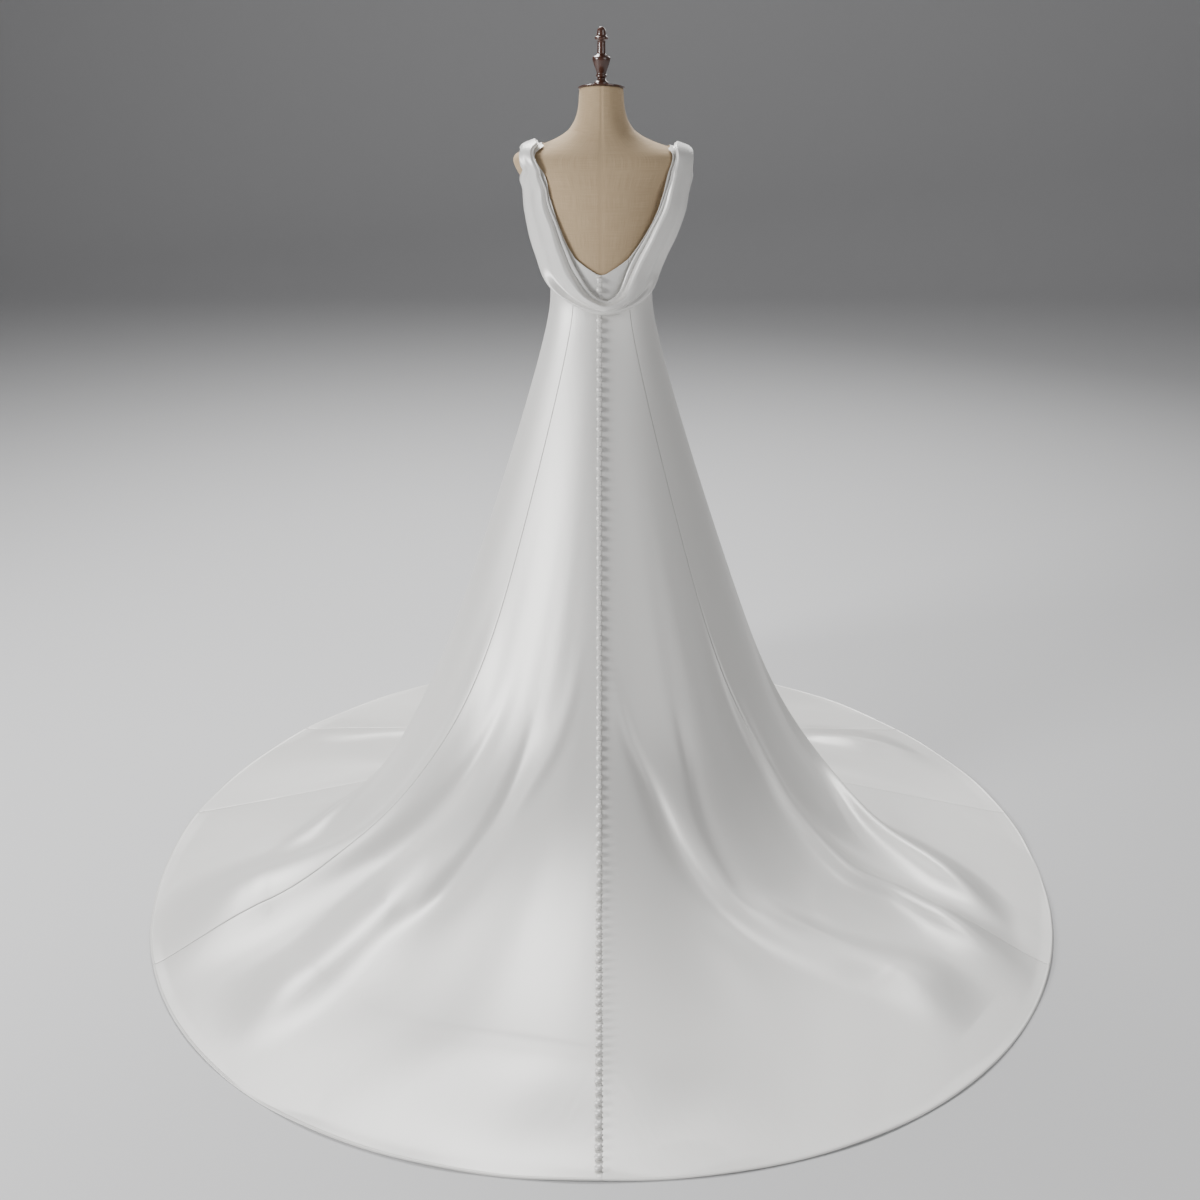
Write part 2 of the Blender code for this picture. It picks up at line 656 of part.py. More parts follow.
def placket_faces(back_outer, start, end):
    """Four lines of points of one piece of the button stand, lying on the left back gore's edge."""
    edge = back_outer[::-1, 0][start:end + 1]
    inside = back_outer[::-1, 1][start:end + 1]
    across = unit(inside - edge)
    along = unit(np.gradient(edge, axis=0))
    outward = unit(np.cross(across, along))
    outward *= np.where(outward[:, 2:] < -0.2, -1, 1) * np.where(outward[:, 1:2] > 0.5, -1, 1)
    trim = np.zeros((len(edge), 1))
    trim[0] = SEAM_GAP / 2
    trim[-1] = -SEAM_GAP / 2
    low_near = edge + outward * SEAM_GAP + along * trim
    low_far = low_near + across * PLACKET_WIDTH
    high_near = low_near + outward * PLACKET_THICKNESS
    high_far = low_far + outward * PLACKET_THICKNESS
    return low_near, low_far, high_near, high_far, across, outward


def add_button(mesh, centre, across, along, outward):
    """A covered button: a low dome on a round foot."""
    rings = []
    for radius, rise in ((1.0, 0.0), (0.70, 1.0)):
        ring = []
        for k in range(BUTTON_SIDES):
            turn = 2 * math.pi * k / BUTTON_SIDES
            spoke = across * math.cos(turn) + along * math.sin(turn)
            point = centre + spoke * radius * BUTTON_RADIUS + outward * (rise * BUTTON_RISE - BUTTON_SINK)
            ring.append(mesh.verts.new(point))
        rings.append(ring)
    for low, high in zip(rings, rings[1:]):
        for k in range(BUTTON_SIDES):
            following = (k + 1) % BUTTON_SIDES
            mesh.faces.new((low[k], low[following], high[following], high[k]))
    mesh.faces.new(rings[0][::-1])
    mesh.faces.new(rings[-1])


def make_buttons(back_outer):
    """The button stand in four lengths, each with its buttons joined to it."""
    rows = len(back_outer)
    bounds = (0,) + PLACKET_ENDS + (rows - 1,)
    line = back_outer[::-1, 0]
    run = np.concatenate([[0], np.cumsum(np.linalg.norm(np.diff(line, axis=0), axis=1))])
    places = np.arange(BUTTON_FIRST, run[-1] - BUTTON_LAST, BUTTON_PITCH)
    print(len(places), "buttons on", round(float(run[-1]), 3), "m")
    for piece, start, end in zip(PLACKET_PIECES, bounds, bounds[1:]):
        low_near, low_far, high_near, high_far, across, outward = placket_faces(back_outer, start, end)
        inner = np.stack([low_near, low_far], axis=1)
        outer = np.stack([high_near, high_far], axis=1)
        stand = add_object(f"buttons_{piece}", wall_mesh(inner, outer), "satin")
        mesh = bmesh.new()
        middle = (high_near + high_far) / 2
        reach = BUTTON_RADIUS * 0.95
        for place in places:
            if not run[start] + reach <= place <= run[end] - reach:
                continue
            segment = int(np.searchsorted(run, place)) - 1 - start
            share = (place - run[start + segment]) / (run[start + segment + 1] - run[start + segment])
            centre = middle[segment] + (middle[segment + 1] - middle[segment]) * share
            along = unit(middle[segment + 1] - middle[segment])
            side = unit(across[segment] + (across[segment + 1] - across[segment]) * share)
            side = unit(side - along * np.dot(side, along))
            up = np.cross(side, along)
            up *= np.sign(np.dot(up, outward[segment]))
            add_button(mesh, centre, side, along, up)
        caps = add_object(f"button_caps_{piece}", mesh, "satin")
        caps.hide_render = True
        caps.display_type = "WIRE"
        union = stand.modifiers.new("buttons", "BOOLEAN")
        union.operation = "UNION"
        union.object = caps


def make_form():
    """The linen form: one closed shell of rings from its flat bottom to its sloping neck top."""
    mesh = bmesh.new()
    heights = column(RINGS, RING_COLUMNS, "height")
    angles = np.arange(FORM_COLUMNS) * 360 / FORM_COLUMNS
    rings = []
    for height in heights:
        points = form_point(angles, np.full_like(angles, height))
        rings.append([mesh.verts.new(point) for point in points.tolist()])
    for low, high in zip(rings, rings[1:]):
        for k in range(FORM_COLUMNS):
            following = (k + 1) % FORM_COLUMNS
            mesh.faces.new((low[k], low[following], high[following], high[k]))
    mesh.faces.new(rings[0][::-1])
    mesh.faces.new(rings[-1])
    add_object("form_body", mesh, "linen")


def make_neck_cap():
    """The turned wooden cap: its underside follows the neck's slope and its top is level."""
    mesh = bmesh.new()
    previous = None
    for row in CAP_PROFILE:
        at = dict(zip(CAP_COLUMNS, row))
        radius = at["radius"] * CAP_RADIUS
        ring = []
        for k in range(CAP_SIDES):
            turn = 2 * math.pi * k / CAP_SIDES
            x, y = radius * math.cos(turn), radius * math.sin(turn)
            slope = y * math.tan(NECK_TILT) * at["tilt"]
            z = NECK_TOP + STAND_GAP + at["height"] * CAP_HEIGHT - slope
            ring.append(mesh.verts.new((x, y, z)))
        if previous is None:
            mesh.faces.new(ring[::-1])
        else:
            for k in range(CAP_SIDES):
                following = (k + 1) % CAP_SIDES
                mesh.faces.new((previous[k], previous[following], ring[following], ring[k]))
        previous = ring
    mesh.faces.new(previous)
    add_object("form_neck_cap", mesh, "dark_wood")


def make_finial():
    foot = NECK_TOP + CAP_HEIGHT + 2 * STAND_GAP
    profile = [(radius, foot + share * FINIAL_HEIGHT) for radius, share in FINIAL_PROFILE]
    add_object("form_finial", turned_mesh(profile, FINIAL_SIDES), "dark_wood")


def make_stand():
    """The round base and the pole under the form."""
    base = [(BASE_RADIUS, 0), (BASE_RADIUS, BASE_THICKNESS - BASE_BEVEL),
            (BASE_RADIUS - BASE_BEVEL, BASE_THICKNESS)]
    add_object("form_base", turned_mesh(base, BASE_SIDES), "black_steel")
    pole = [(POLE_RADIUS, BASE_THICKNESS + STAND_GAP), (POLE_RADIUS, FORM_BOTTOM - STAND_GAP)]
    add_object("form_pole", turned_mesh(pole, POLE_SIDES), "black_steel")


def main():
    for old in list(bpy.data.objects):
        bpy.data.objects.remove(old)
    root = bpy.data.objects.new("wedding_dress", None)
    bpy.context.scene.collection.objects.link(root)
    outer_faces = make_gores()
    make_cowl()
    make_buttons(outer_faces["back_left"])
    make_form()
    make_neck_cap()
    make_finial()
    make_stand()


main()
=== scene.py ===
# %% [markdown]
# # A satin wedding dress with a cowl back, on a dress form
#
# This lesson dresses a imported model. The model, loaded first, holds the true sizes of the cloth panels,
# the form and its stand. Everything made below lies on those sizes, in metres, with +Z up and the back
# of the dress facing -Y.

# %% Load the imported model
import math

import bpy
import numpy as np
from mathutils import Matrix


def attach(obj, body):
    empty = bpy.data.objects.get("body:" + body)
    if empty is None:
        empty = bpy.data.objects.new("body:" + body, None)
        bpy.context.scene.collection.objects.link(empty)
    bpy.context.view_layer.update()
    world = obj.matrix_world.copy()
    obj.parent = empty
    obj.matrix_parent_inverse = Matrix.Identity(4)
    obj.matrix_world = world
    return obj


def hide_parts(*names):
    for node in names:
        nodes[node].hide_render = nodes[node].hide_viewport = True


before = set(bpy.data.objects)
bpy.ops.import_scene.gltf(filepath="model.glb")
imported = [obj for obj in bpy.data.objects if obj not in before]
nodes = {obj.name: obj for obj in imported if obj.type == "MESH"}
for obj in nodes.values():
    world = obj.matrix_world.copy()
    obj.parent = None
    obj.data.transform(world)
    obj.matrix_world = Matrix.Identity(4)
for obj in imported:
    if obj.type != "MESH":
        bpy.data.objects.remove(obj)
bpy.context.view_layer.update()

# %% [markdown]
# ## Camera
#
# The photograph looks down on the train from behind, from about a standing person's eyes. Its hem is an
# ellipse, and the ellipse, the form's width and the height of the finial fix the camera: 3.15 m behind
# the form, 1.73 m up, tilted 23 degrees down, with a lens a little longer than normal.

# %% Camera
CAMERA_PLACE = (-0.003, -3.15, 1.73)
CAMERA_TILT = math.radians(23.06)
CAMERA_LENS = 41.4

camera_data = bpy.data.cameras.new("camera")
camera_data.lens = CAMERA_LENS
camera = bpy.data.objects.new("camera", camera_data)
camera.location = CAMERA_PLACE
camera.rotation_euler = (math.pi / 2 - CAMERA_TILT, 0, 0)
bpy.context.scene.collection.objects.link(camera)
bpy.context.scene.camera = camera
print("camera", CAMERA_PLACE, "lens", CAMERA_LENS)

# %% [markdown]
# ## Light
#
# Satin shows its folds only where the light changes across them. A large soft lamp high on the camera's
# left makes the left half lighter than the right, as in the photograph. A second one hangs over the
# dress and a little beyond it, so that the side of each fold that faces the camera is grey. A weak wide
# lamp and a pale sky keep the shaded sides open, and a lamp behind draws the thin light line along the
# shoulders.

# %% Lights and sky
LAMPS = (
    # name, place, target, width, watts
    ("key", (-3.9, -2.0, 2.0), (0, -0.5, 0.4), 1.3, 195),
    ("top", (-0.6, 1.6, 3.8), (0, -0.7, 0.1), 1.8, 190),
    ("fill", (3.2, -3.2, 2.4), (0, -0.4, 0.7), 2.8, 56),
    ("back", (1.8, 3.0, 2.8), (0, 0, 1.1), 1.6, 30),
)
SKY_COLOUR = (0.88, 0.88, 0.90)
SKY_STRENGTH = 0.17


def add_lamp(name, place, target, width, watts):
    """A square area lamp at a place, turned to look at its target."""
    data = bpy.data.lights.new(name, "AREA")
    data.size = width
    data.energy = watts
    lamp = bpy.data.objects.new(name, data)
    lamp.location = place
    way = np.array(target) - np.array(place)
    flat = math.hypot(way[0], way[1])
    lamp.rotation_euler = (math.pi / 2 + math.atan2(way[2], flat), 0, math.atan2(-way[0], way[1]))
    bpy.context.scene.collection.objects.link(lamp)
    return lamp


for row in LAMPS:
    add_lamp(*row)
sky = bpy.data.worlds.new("sky")
sky.use_nodes = True
sky.node_tree.nodes["Background"].inputs["Color"].default_value = (*SKY_COLOUR, 1)
sky.node_tree.nodes["Background"].inputs["Strength"].default_value = SKY_STRENGTH
bpy.context.scene.world = sky
print(len(LAMPS), "lamps")

# %% [markdown]
# ## Small tools for surfaces
#
# Each cloth panel is a function of two parameters, worked out for a whole grid at once. A table with a
# few rows says how a size changes along the dress, and a smooth curve reads it at any place. A grid
# becomes a mesh by numbering its points row by row, so the four corners of every face are four shifted
# copies of one array of numbers.

# %% Curves through tables


def smooth(places, values, at):
    """Smooth curve through a table: a cubic on each span, its slope at a row the mean of both spans.

    Where the values turn back, the slope is nought, so the curve never swings past a row.
    """
    places = np.asarray(places, dtype=float)
    values = np.asarray(values, dtype=float)
    secants = np.diff(values) / np.diff(places)
    slopes = np.concatenate([secants[:1], (secants[1:] + secants[:-1]) / 2, secants[-1:]])
    turning = np.concatenate([[False], secants[1:] * secants[:-1] <= 0, [False]])
    slopes = np.where(turning, 0, slopes)
    row = np.clip(np.searchsorted(places, at) - 1, 0, len(places) - 2)
    step = places[row + 1] - places[row]
    t = np.clip((at - places[row]) / step, 0, 1)
    before = (1 + 2 * t) * (1 - t) ** 2
    after = t * t * (3 - 2 * t)
    leaving = step * t * (1 - t) ** 2
    arriving = step * t * t * (t - 1)
    return before * values[row] + after * values[row + 1] + leaving * slopes[row] + arriving * slopes[row + 1]


def column(rows, names, name):
    """One named column of a table, as an array."""
    return np.array([row[names.index(name)] for row in rows], dtype=float)


def ramp(value, start, end):
    """Soft step from 0 at start to 1 at end: three times the square less twice the cube."""
    t = np.clip((value - start) / (end - start), 0, 1)
    return t * t * (3 - 2 * t)


def unit(vectors):
    """Each vector divided by its length."""
    return vectors / np.maximum(np.linalg.norm(vectors, axis=-1, keepdims=True), 1e-12)


def grid_normals(grid):
    """Unit normals of a grid of points: the cross product of its steps along columns and along rows."""
    return unit(np.cross(np.gradient(grid, axis=1), np.gradient(grid, axis=0)))


# %% Grids into meshes


def grid_faces(rows, columns, closed=False):
    """Corner numbers of every face of a grid, as one array of fours."""
    number = np.arange(rows * columns).reshape(rows, columns)
    if closed:
        number = np.concatenate([number, number[:, :1]], axis=1)
    corners = (number[:-1, :-1], number[:-1, 1:], number[1:, 1:], number[1:, :-1])
    return np.stack(corners, axis=-1).reshape(-1, 4)


def mesh_object(name, points, faces, uv=None, material=None, smooth_faces=True):
    """Object from arrays of points and of faces, at the origin, with its map in metres."""
    mesh = bpy.data.meshes.new(name)
    mesh.from_pydata(points.reshape(-1, 3).tolist(), [], [list(face) for face in faces])
    if uv is not None:
        layer = mesh.uv_layers.new(name="cloth")
        corner_points = np.empty(len(mesh.loops), dtype=np.int32)
        mesh.loops.foreach_get("vertex_index", corner_points)
        layer.data.foreach_set("uv", uv.reshape(-1, 2)[corner_points].astype(np.float32).ravel())
    mesh.polygons.foreach_set("use_smooth", np.full(len(faces), smooth_faces))
    if material is not None:
        mesh.materials.append(material)
    mesh.update()
    made = bpy.data.objects.new(name, mesh)
    bpy.context.scene.collection.objects.link(made)
    return made


def closed_tube(points, sides):
    """Faces of a tube of rings, with its two ends closed by one many-sided face each."""
    rings = len(points)
    faces = grid_faces(rings, sides, closed=True).tolist()
    faces.append(list(range(sides))[::-1])
    faces.append(list(range((rings - 1) * sides, rings * sides)))
    return faces


def grid_map(grid):
    """Map of a grid in metres: how far each point lies along its row and along its column."""
    across = np.linalg.norm(np.diff(grid, axis=1), axis=-1)
    along = np.linalg.norm(np.diff(grid, axis=0), axis=-1)
    u = np.concatenate([np.zeros((len(grid), 1)), np.cumsum(across, axis=1)], axis=1)
    v = np.concatenate([np.zeros((1, grid.shape[1])), np.cumsum(along, axis=0)], axis=0)
    return np.stack([u - u.mean(axis=1, keepdims=True), v], axis=-1)


def grid_area(grid):
    """Area of a grid: half the cross product of each face's diagonals."""
    first = grid[1:, 1:] - grid[:-1, :-1]
    second = grid[1:, :-1] - grid[:-1, 1:]
    return float(np.linalg.norm(np.cross(first, second), axis=-1).sum() / 2)


def finish_piece(piece, slot, *replaced):
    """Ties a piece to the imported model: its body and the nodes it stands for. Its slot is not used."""
    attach(piece, "root")
    if replaced:
        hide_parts(*replaced)


# %% [markdown]
# ## Cloth and other finishes
#
# Heavy satin is smooth and bright with a broad, soft highlight: its face is all long floating threads.
# A middling roughness with a little sheen gives the glow, and a bump far finer than a millimetre,
# stretched along the threads, keeps the highlight from looking like plastic. The map is in metres, so
# the same figures give threads of the same size on every panel.

# %% Satin, linen, wood and steel


def new_material(name, colour, roughness):
    """A material with its plain values set on the shader's own sockets."""
    made = bpy.data.materials.new(name)
    made.use_nodes = True
    shader = made.node_tree.nodes["Principled BSDF"]
    shader.inputs["Base Color"].default_value = (*colour, 1)
    shader.inputs["Roughness"].default_value = roughness
    return made, shader


def add_node(material, kind, **settings):
    node = material.node_tree.nodes.new(kind)
    for name, value in settings.items():
        if name in node.inputs:
            node.inputs[name].default_value = value
        else:
            setattr(node, name, value)
    return node


def mapped(material, source, scale):
    """Texture coordinates, the cloth's map or the object's own, stretched by a scale."""
    coordinates = add_node(material, "ShaderNodeTexCoord")
    mapping = add_node(material, "ShaderNodeMapping", Scale=scale)
    material.node_tree.links.new(coordinates.outputs[source], mapping.inputs["Vector"])
    return mapping.outputs["Vector"]


def add_bump(material, shader, height, strength, distance, before=None):
    bump = add_node(material, "ShaderNodeBump", Strength=strength, Distance=distance)
    material.node_tree.links.new(height, bump.inputs["Height"])
    if before is not None:
        material.node_tree.links.new(before.outputs["Normal"], bump.inputs["Normal"])
    material.node_tree.links.new(bump.outputs["Normal"], shader.inputs["Normal"])
    return bump


SATIN_LIGHT = (0.84, 0.83, 0.805)
SATIN_DEEP = (0.79, 0.78, 0.755)


def make_satin():
    """Ivory satin: soft uneven tone over hand-sized patches, fine threads and a faint puckering."""
    satin, shader = new_material("satin", SATIN_LIGHT, 0.43)
    shader.inputs["Specular IOR Level"].default_value = 0.55
    shader.inputs["Metallic"].default_value = 0.25
    shader.inputs["Sheen Weight"].default_value = 0.10
    shader.inputs["Sheen Roughness"].default_value = 0.35
    shader.inputs["Anisotropic"].default_value = 0.35
    links = satin.node_tree.links
    patches = add_node(satin, "ShaderNodeTexNoise", Scale=5.0, Detail=3.0, Roughness=0.5)
    links.new(mapped(satin, "UV", (1, 0.5, 1)), patches.inputs["Vector"])
    tone = add_node(satin, "ShaderNodeMix", data_type="RGBA")
    links.new(patches.outputs["Fac"], tone.inputs["Factor"])
    tone.inputs[6].default_value = (*SATIN_DEEP, 1)
    tone.inputs[7].default_value = (*SATIN_LIGHT, 1)
    links.new(tone.outputs[2], shader.inputs["Base Color"])
    pucker = add_node(satin, "ShaderNodeTexNoise", Scale=1.0, Detail=2.0)
    links.new(mapped(satin, "UV", (60, 22, 1)), pucker.inputs["Vector"])
    threads = add_node(satin, "ShaderNodeTexNoise", Scale=1.0, Detail=1.0)
    links.new(mapped(satin, "UV", (2600, 380, 1)), threads.inputs["Vector"])
    soft = add_bump(satin, shader, pucker.outputs["Fac"], 0.25, 0.0008)
    add_bump(satin, shader, threads.outputs["Fac"], 0.18, 0.0001, before=soft)
    return satin


LINEN_LIGHT = (0.54, 0.405, 0.255)
LINEN_DARK = (0.43, 0.315, 0.19)


def make_linen():
    """Natural linen: two sets of uneven threads at right angles, half a millimetre apart."""
    linen, shader = new_material("linen", LINEN_LIGHT, 0.86)
    shader.inputs["Specular IOR Level"].default_value = 0.25
    shader.inputs["Sheen Weight"].default_value = 0.15
    links = linen.node_tree.links
    warp = add_node(linen, "ShaderNodeTexNoise", Scale=1.0, Detail=2.0)
    links.new(mapped(linen, "UV", (1500, 24, 1)), warp.inputs["Vector"])
    weft = add_node(linen, "ShaderNodeTexNoise", Scale=1.0, Detail=2.0)
    links.new(mapped(linen, "UV", (24, 1500, 1)), weft.inputs["Vector"])
    both = add_node(linen, "ShaderNodeMath", operation="ADD")
    links.new(warp.outputs["Fac"], both.inputs[0])
    links.new(weft.outputs["Fac"], both.inputs[1])
    slubs = add_node(linen, "ShaderNodeMapRange")
    slubs.inputs["From Min"].default_value = 0.75
    slubs.inputs["From Max"].default_value = 1.25
    links.new(both.outputs[0], slubs.inputs["Value"])
    tone = add_node(linen, "ShaderNodeMix", data_type="RGBA")
    tone.inputs[6].default_value = (*LINEN_DARK, 1)
    tone.inputs[7].default_value = (*LINEN_LIGHT, 1)
    links.new(slubs.outputs["Result"], tone.inputs["Factor"])
    links.new(tone.outputs[2], shader.inputs["Base Color"])
    add_bump(linen, shader, both.outputs[0], 0.5, 0.0003)
    return linen


WOOD_DARK = (0.030, 0.010, 0.006)
WOOD_RED = (0.095, 0.030, 0.014)


def make_wood():
    """Dark lacquered wood: stretched noise for the grain, under a clear coat."""
    wood, shader = new_material("dark_wood", WOOD_DARK, 0.32)
    shader.inputs["Coat Weight"].default_value = 0.8
    shader.inputs["Coat Roughness"].default_value = 0.08
    links = wood.node_tree.links
    grain = add_node(wood, "ShaderNodeTexNoise", Scale=1.0, Detail=5.0, Roughness=0.65)
    links.new(mapped(wood, "Object", (240, 240, 22)), grain.inputs["Vector"])
    tone = add_node(wood, "ShaderNodeMix", data_type="RGBA")
    tone.inputs[6].default_value = (*WOOD_DARK, 1)
    tone.inputs[7].default_value = (*WOOD_RED, 1)
    links.new(grain.outputs["Fac"], tone.inputs["Factor"])
    links.new(tone.outputs[2], shader.inputs["Base Color"])
    add_bump(wood, shader, grain.outputs["Fac"], 0.15, 0.0003)
    return wood


def make_steel():
    """Black powder-coated steel: a fine, even orange-peel bump."""
    steel, shader = new_material("black_steel", (0.022, 0.022, 0.024), 0.42)
    links = steel.node_tree.links
    peel = add_node(steel, "ShaderNodeTexNoise", Scale=1.0, Detail=2.0)
    links.new(mapped(steel, "Object", (900, 900, 900)), peel.inputs["Vector"])
    add_bump(steel, shader, peel.outputs["Fac"], 0.2, 0.0002)
    return steel


satin = make_satin()
linen = make_linen()
dark_wood = make_wood()
black_steel = make_steel()
print("materials", [m.name for m in (satin, linen, dark_wood, black_steel)])

# %% [markdown]
# ## The form's shape
#
# A dress form is a pile of oval rings. The table gives each ring's half width and its depth behind and
# in front of the pole, and how far outside the form the dress lies there. All of the bodice is read
# from the same table, so cloth and form can never cut into each other.

# %% Rings of the form, and the cloth's ease over it
RING_COLUMNS = ("height", "half_width", "back", "front", "side_ease", "back_ease", "front_ease")
RINGS = (
    (0.880, 0.150, 0.104, 0.096, 0.0200, 0.0200, 0.0200),
    (0.940, 0.144, 0.102, 0.096, 0.0200, 0.0200, 0.0200),
    (1.000, 0.130, 0.094, 0.090, 0.0200, 0.0200, 0.0200),
    (1.060, 0.115, 0.082, 0.084, 0.0180, 0.0200, 0.0200),
    (1.110, 0.107, 0.079, 0.081, 0.0100, 0.0120, 0.0100),
    (1.150, 0.105, 0.078, 0.080, 0.0080, 0.0050, 0.0050),
    (1.190, 0.108, 0.080, 0.085, 0.0080, 0.0028, 0.0050),
    (1.230, 0.120, 0.084, 0.094, 0.0100, 0.0028, 0.0050),
    (1.280, 0.139, 0.089, 0.108, 0.0130, 0.0028, 0.0050),
    (1.330, 0.152, 0.093, 0.118, 0.0140, 0.0028, 0.0055),
    (1.380, 0.163, 0.095, 0.114, 0.0125, 0.0028, 0.0055),
    (1.412, 0.184, 0.092, 0.098, 0.0050, 0.0028, 0.0045),
    (1.434, 0.192, 0.087, 0.086, 0.0048, 0.0046, 0.0040),
    (1.448, 0.184, 0.081, 0.078, 0.0048, 0.0050, 0.0036),
    (1.458, 0.158, 0.075, 0.071, 0.0028, 0.0034, 0.0026),
    (1.467, 0.128, 0.070, 0.065, 0.0018, 0.0020, 0.0020),
    (1.478, 0.100, 0.064, 0.060, 0.0012, 0.0012, 0.0012),
    (1.493, 0.075, 0.058, 0.055, 0.0012, 0.0012, 0.0012),
    (1.512, 0.060, 0.053, 0.051, 0.0012, 0.0012, 0.0012),
    (1.535, 0.0515, 0.049, 0.048, 0.0012, 0.0012, 0.0012),
    (1.578, 0.0470, 0.046, 0.046, 0.0012, 0.0012, 0.0012),
)
FORM_BOTTOM = RINGS[0][0]
NECK_TOP = RINGS[-1][0]
NECK_TILT = math.radians(12)
NECK_TILT_FROM = 1.520

# The bodice hangs a little to the right of the form
LEAN = 0.010
LEAN_FROM = 1.20
LEAN_FULL = 1.36
DRIFT_FULL = 1.38
DRIFT_END = 1.44
SHOULDER_LOW = 1.43
SHOULDER_HIGH = 1.50


def ring_value(name, height):
    return smooth(column(RINGS, RING_COLUMNS, "height"), column(RINGS, RING_COLUMNS, name), height)


def form_point(angle, height):
    """Point of the form: half width times the sine, depth times the cosine, at a height."""
    turn = np.radians(angle)
    depth = np.where(np.cos(turn) > 0, ring_value("back", height), ring_value("front", height))
    x = ring_value("half_width", height) * np.sin(turn)
    y = -depth * np.cos(turn)
    lift = math.tan(NECK_TILT) * ramp(height, NECK_TILT_FROM, NECK_TOP)
    return np.stack([x, y, height - lift * y], axis=-1)


def surface_normals(surface, first, second, step):
    """Unit normals of a surface of two parameters, from four neighbouring points of each place."""
    along_first = surface(first + step, second) - surface(first - step, second)
    along_second = surface(first, second + step) - surface(first, second - step)
    return unit(np.cross(along_first, along_second))


def turned_out(normals, guide):
    """Normals, turned over where they point against their guide."""
    facing = np.sign(np.sum(normals * guide, axis=-1, keepdims=True))
    return normals * np.where(facing == 0, 1, facing)


def form_normal(angle, height):
    turn = np.radians(angle)
    radial = np.stack([np.sin(turn), -np.cos(turn), 0 * turn], axis=-1)
    return turned_out(surface_normals(form_point, angle, height, 1e-3), radial)


def lean_at(height):
    """How far the dress's centre line lies to the right."""
    return LEAN * ramp(height, LEAN_FROM, LEAN_FULL)


def bodice_point(angle, height):
    """Inner face of the cloth above the waist: the form, moved out along its normals by the ease."""
    angle, height = np.broadcast_arrays(np.asarray(angle, dtype=float), np.asarray(height, dtype=float))
    side = np.sin(np.radians(angle)) ** 2
    end_ease = np.where(np.cos(np.radians(angle)) > 0, ring_value("back_ease", height),
                        ring_value("front_ease", height))
    ease = end_ease + (ring_value("side_ease", height) - end_ease) * side
    point = form_point(angle, height) + form_normal(angle, height) * ease[..., None]
    point[..., 0] += lean_at(height) * (1 - ramp(height, DRIFT_FULL, DRIFT_END))
    return point


def bodice_normal(angle, height):
    angle, height = np.broadcast_arrays(np.asarray(angle, dtype=float), np.asarray(height, dtype=float))
    return turned_out(surface_normals(bodice_point, angle, height, 1e-3), form_normal(angle, height))


def angle_at(side, distance, height, front=False):
    """Angle at which the bodice is that far from the dress's centre line, on one side."""
    angles = np.linspace(0, 90, 361)
    places = bodice_point(side * angles, np.full_like(angles, height))[:, 0] * side
    target = distance + side * lean_at(height)
    angle = np.interp(target, np.maximum.accumulate(places), angles)
    return 180 - angle if front else angle


def height_at(side, distance, angle):
    """Height on the shoulder at which the bodice reaches that distance at an angle."""
    heights = np.linspace(SHOULDER_LOW, SHOULDER_HIGH, 281)
    places = bodice_point(np.full_like(heights, side * angle), heights)[:, 0] * side
    return np.interp(-(distance + side * LEAN), -places, heights)


# %% [markdown]
# ## The linen form
#
# Linen is sewn from panels, so a fine ridge of seam runs down the centre back, the centre front and both
# sides, and another goes round the foot of the neck. Each seam is a shallow groove with a raised lip,
# pressed into the rings' radius.

# %% Linen body
FORM_SIDES = 180
FORM_ROWS = 200
SEAM_GROOVE = 0.0011
SEAM_WIDTH = 0.0026
NECK_SEAM_HEIGHT = 1.496
FORM_SEAM_ANGLES = (0, 90, 180, 270)


def groove(distance, depth, width):
    """Profile across a seam: a narrow trough between two low lips."""
    across = distance / width
    return depth * (0.45 * np.exp(-(across / 2.2) ** 2) - np.exp(-across ** 2))


def make_form_body():
    angles = np.arange(FORM_SIDES) * 360 / FORM_SIDES
    heights = np.linspace(FORM_BOTTOM, NECK_TOP, FORM_ROWS)
    angle, height = np.meshgrid(angles, heights)
    grid = form_point(angle, height)
    outward = form_normal(angle, height)
    relief = groove(height - NECK_SEAM_HEIGHT, SEAM_GROOVE, SEAM_WIDTH)
    radius = np.hypot(grid[..., 0], grid[..., 1])
    for seam in FORM_SEAM_ANGLES:
        away = np.radians((angle - seam + 180) % 360 - 180) * radius
        relief = relief + groove(away, SEAM_GROOVE, SEAM_WIDTH)
    grid = grid + outward * relief[..., None]
    faces = closed_tube(grid, FORM_SIDES)
    around = np.radians(angle) * np.median(radius)
    uv = np.stack([around, height], axis=-1)
    mesh = bpy.data.meshes.new("linen_body")
    mesh.from_pydata(grid.reshape(-1, 3).tolist(), [], faces)
    layer = mesh.uv_layers.new(name="cloth")
    corner_points = np.empty(len(mesh.loops), dtype=np.int32)
    mesh.loops.foreach_get("vertex_index", corner_points)
    layer.data.foreach_set("uv", uv.reshape(-1, 2)[corner_points].astype(np.float32).ravel())
    mesh.polygons.foreach_set("use_smooth", np.full(len(faces), True))
    mesh.materials.append(linen)
    body = bpy.data.objects.new("linen_body", mesh)
    bpy.context.scene.collection.objects.link(body)
    finish_piece(body, "linen", "form_body")
    print("linen body", len(faces), "faces")


make_form_body()

# %% [markdown]
# ## Skirt and train
#
# Each line of the skirt falls from the waist, flares, lands on the floor and runs on to the hem, which
# is an oval. Between them a grid of lines gives the whole skirt. The hem angle names a line, from 0 at
# the centre back to 180 at the centre front, and a second number goes from 0 at the waist through 1
# where it lands to 2 at the hem.

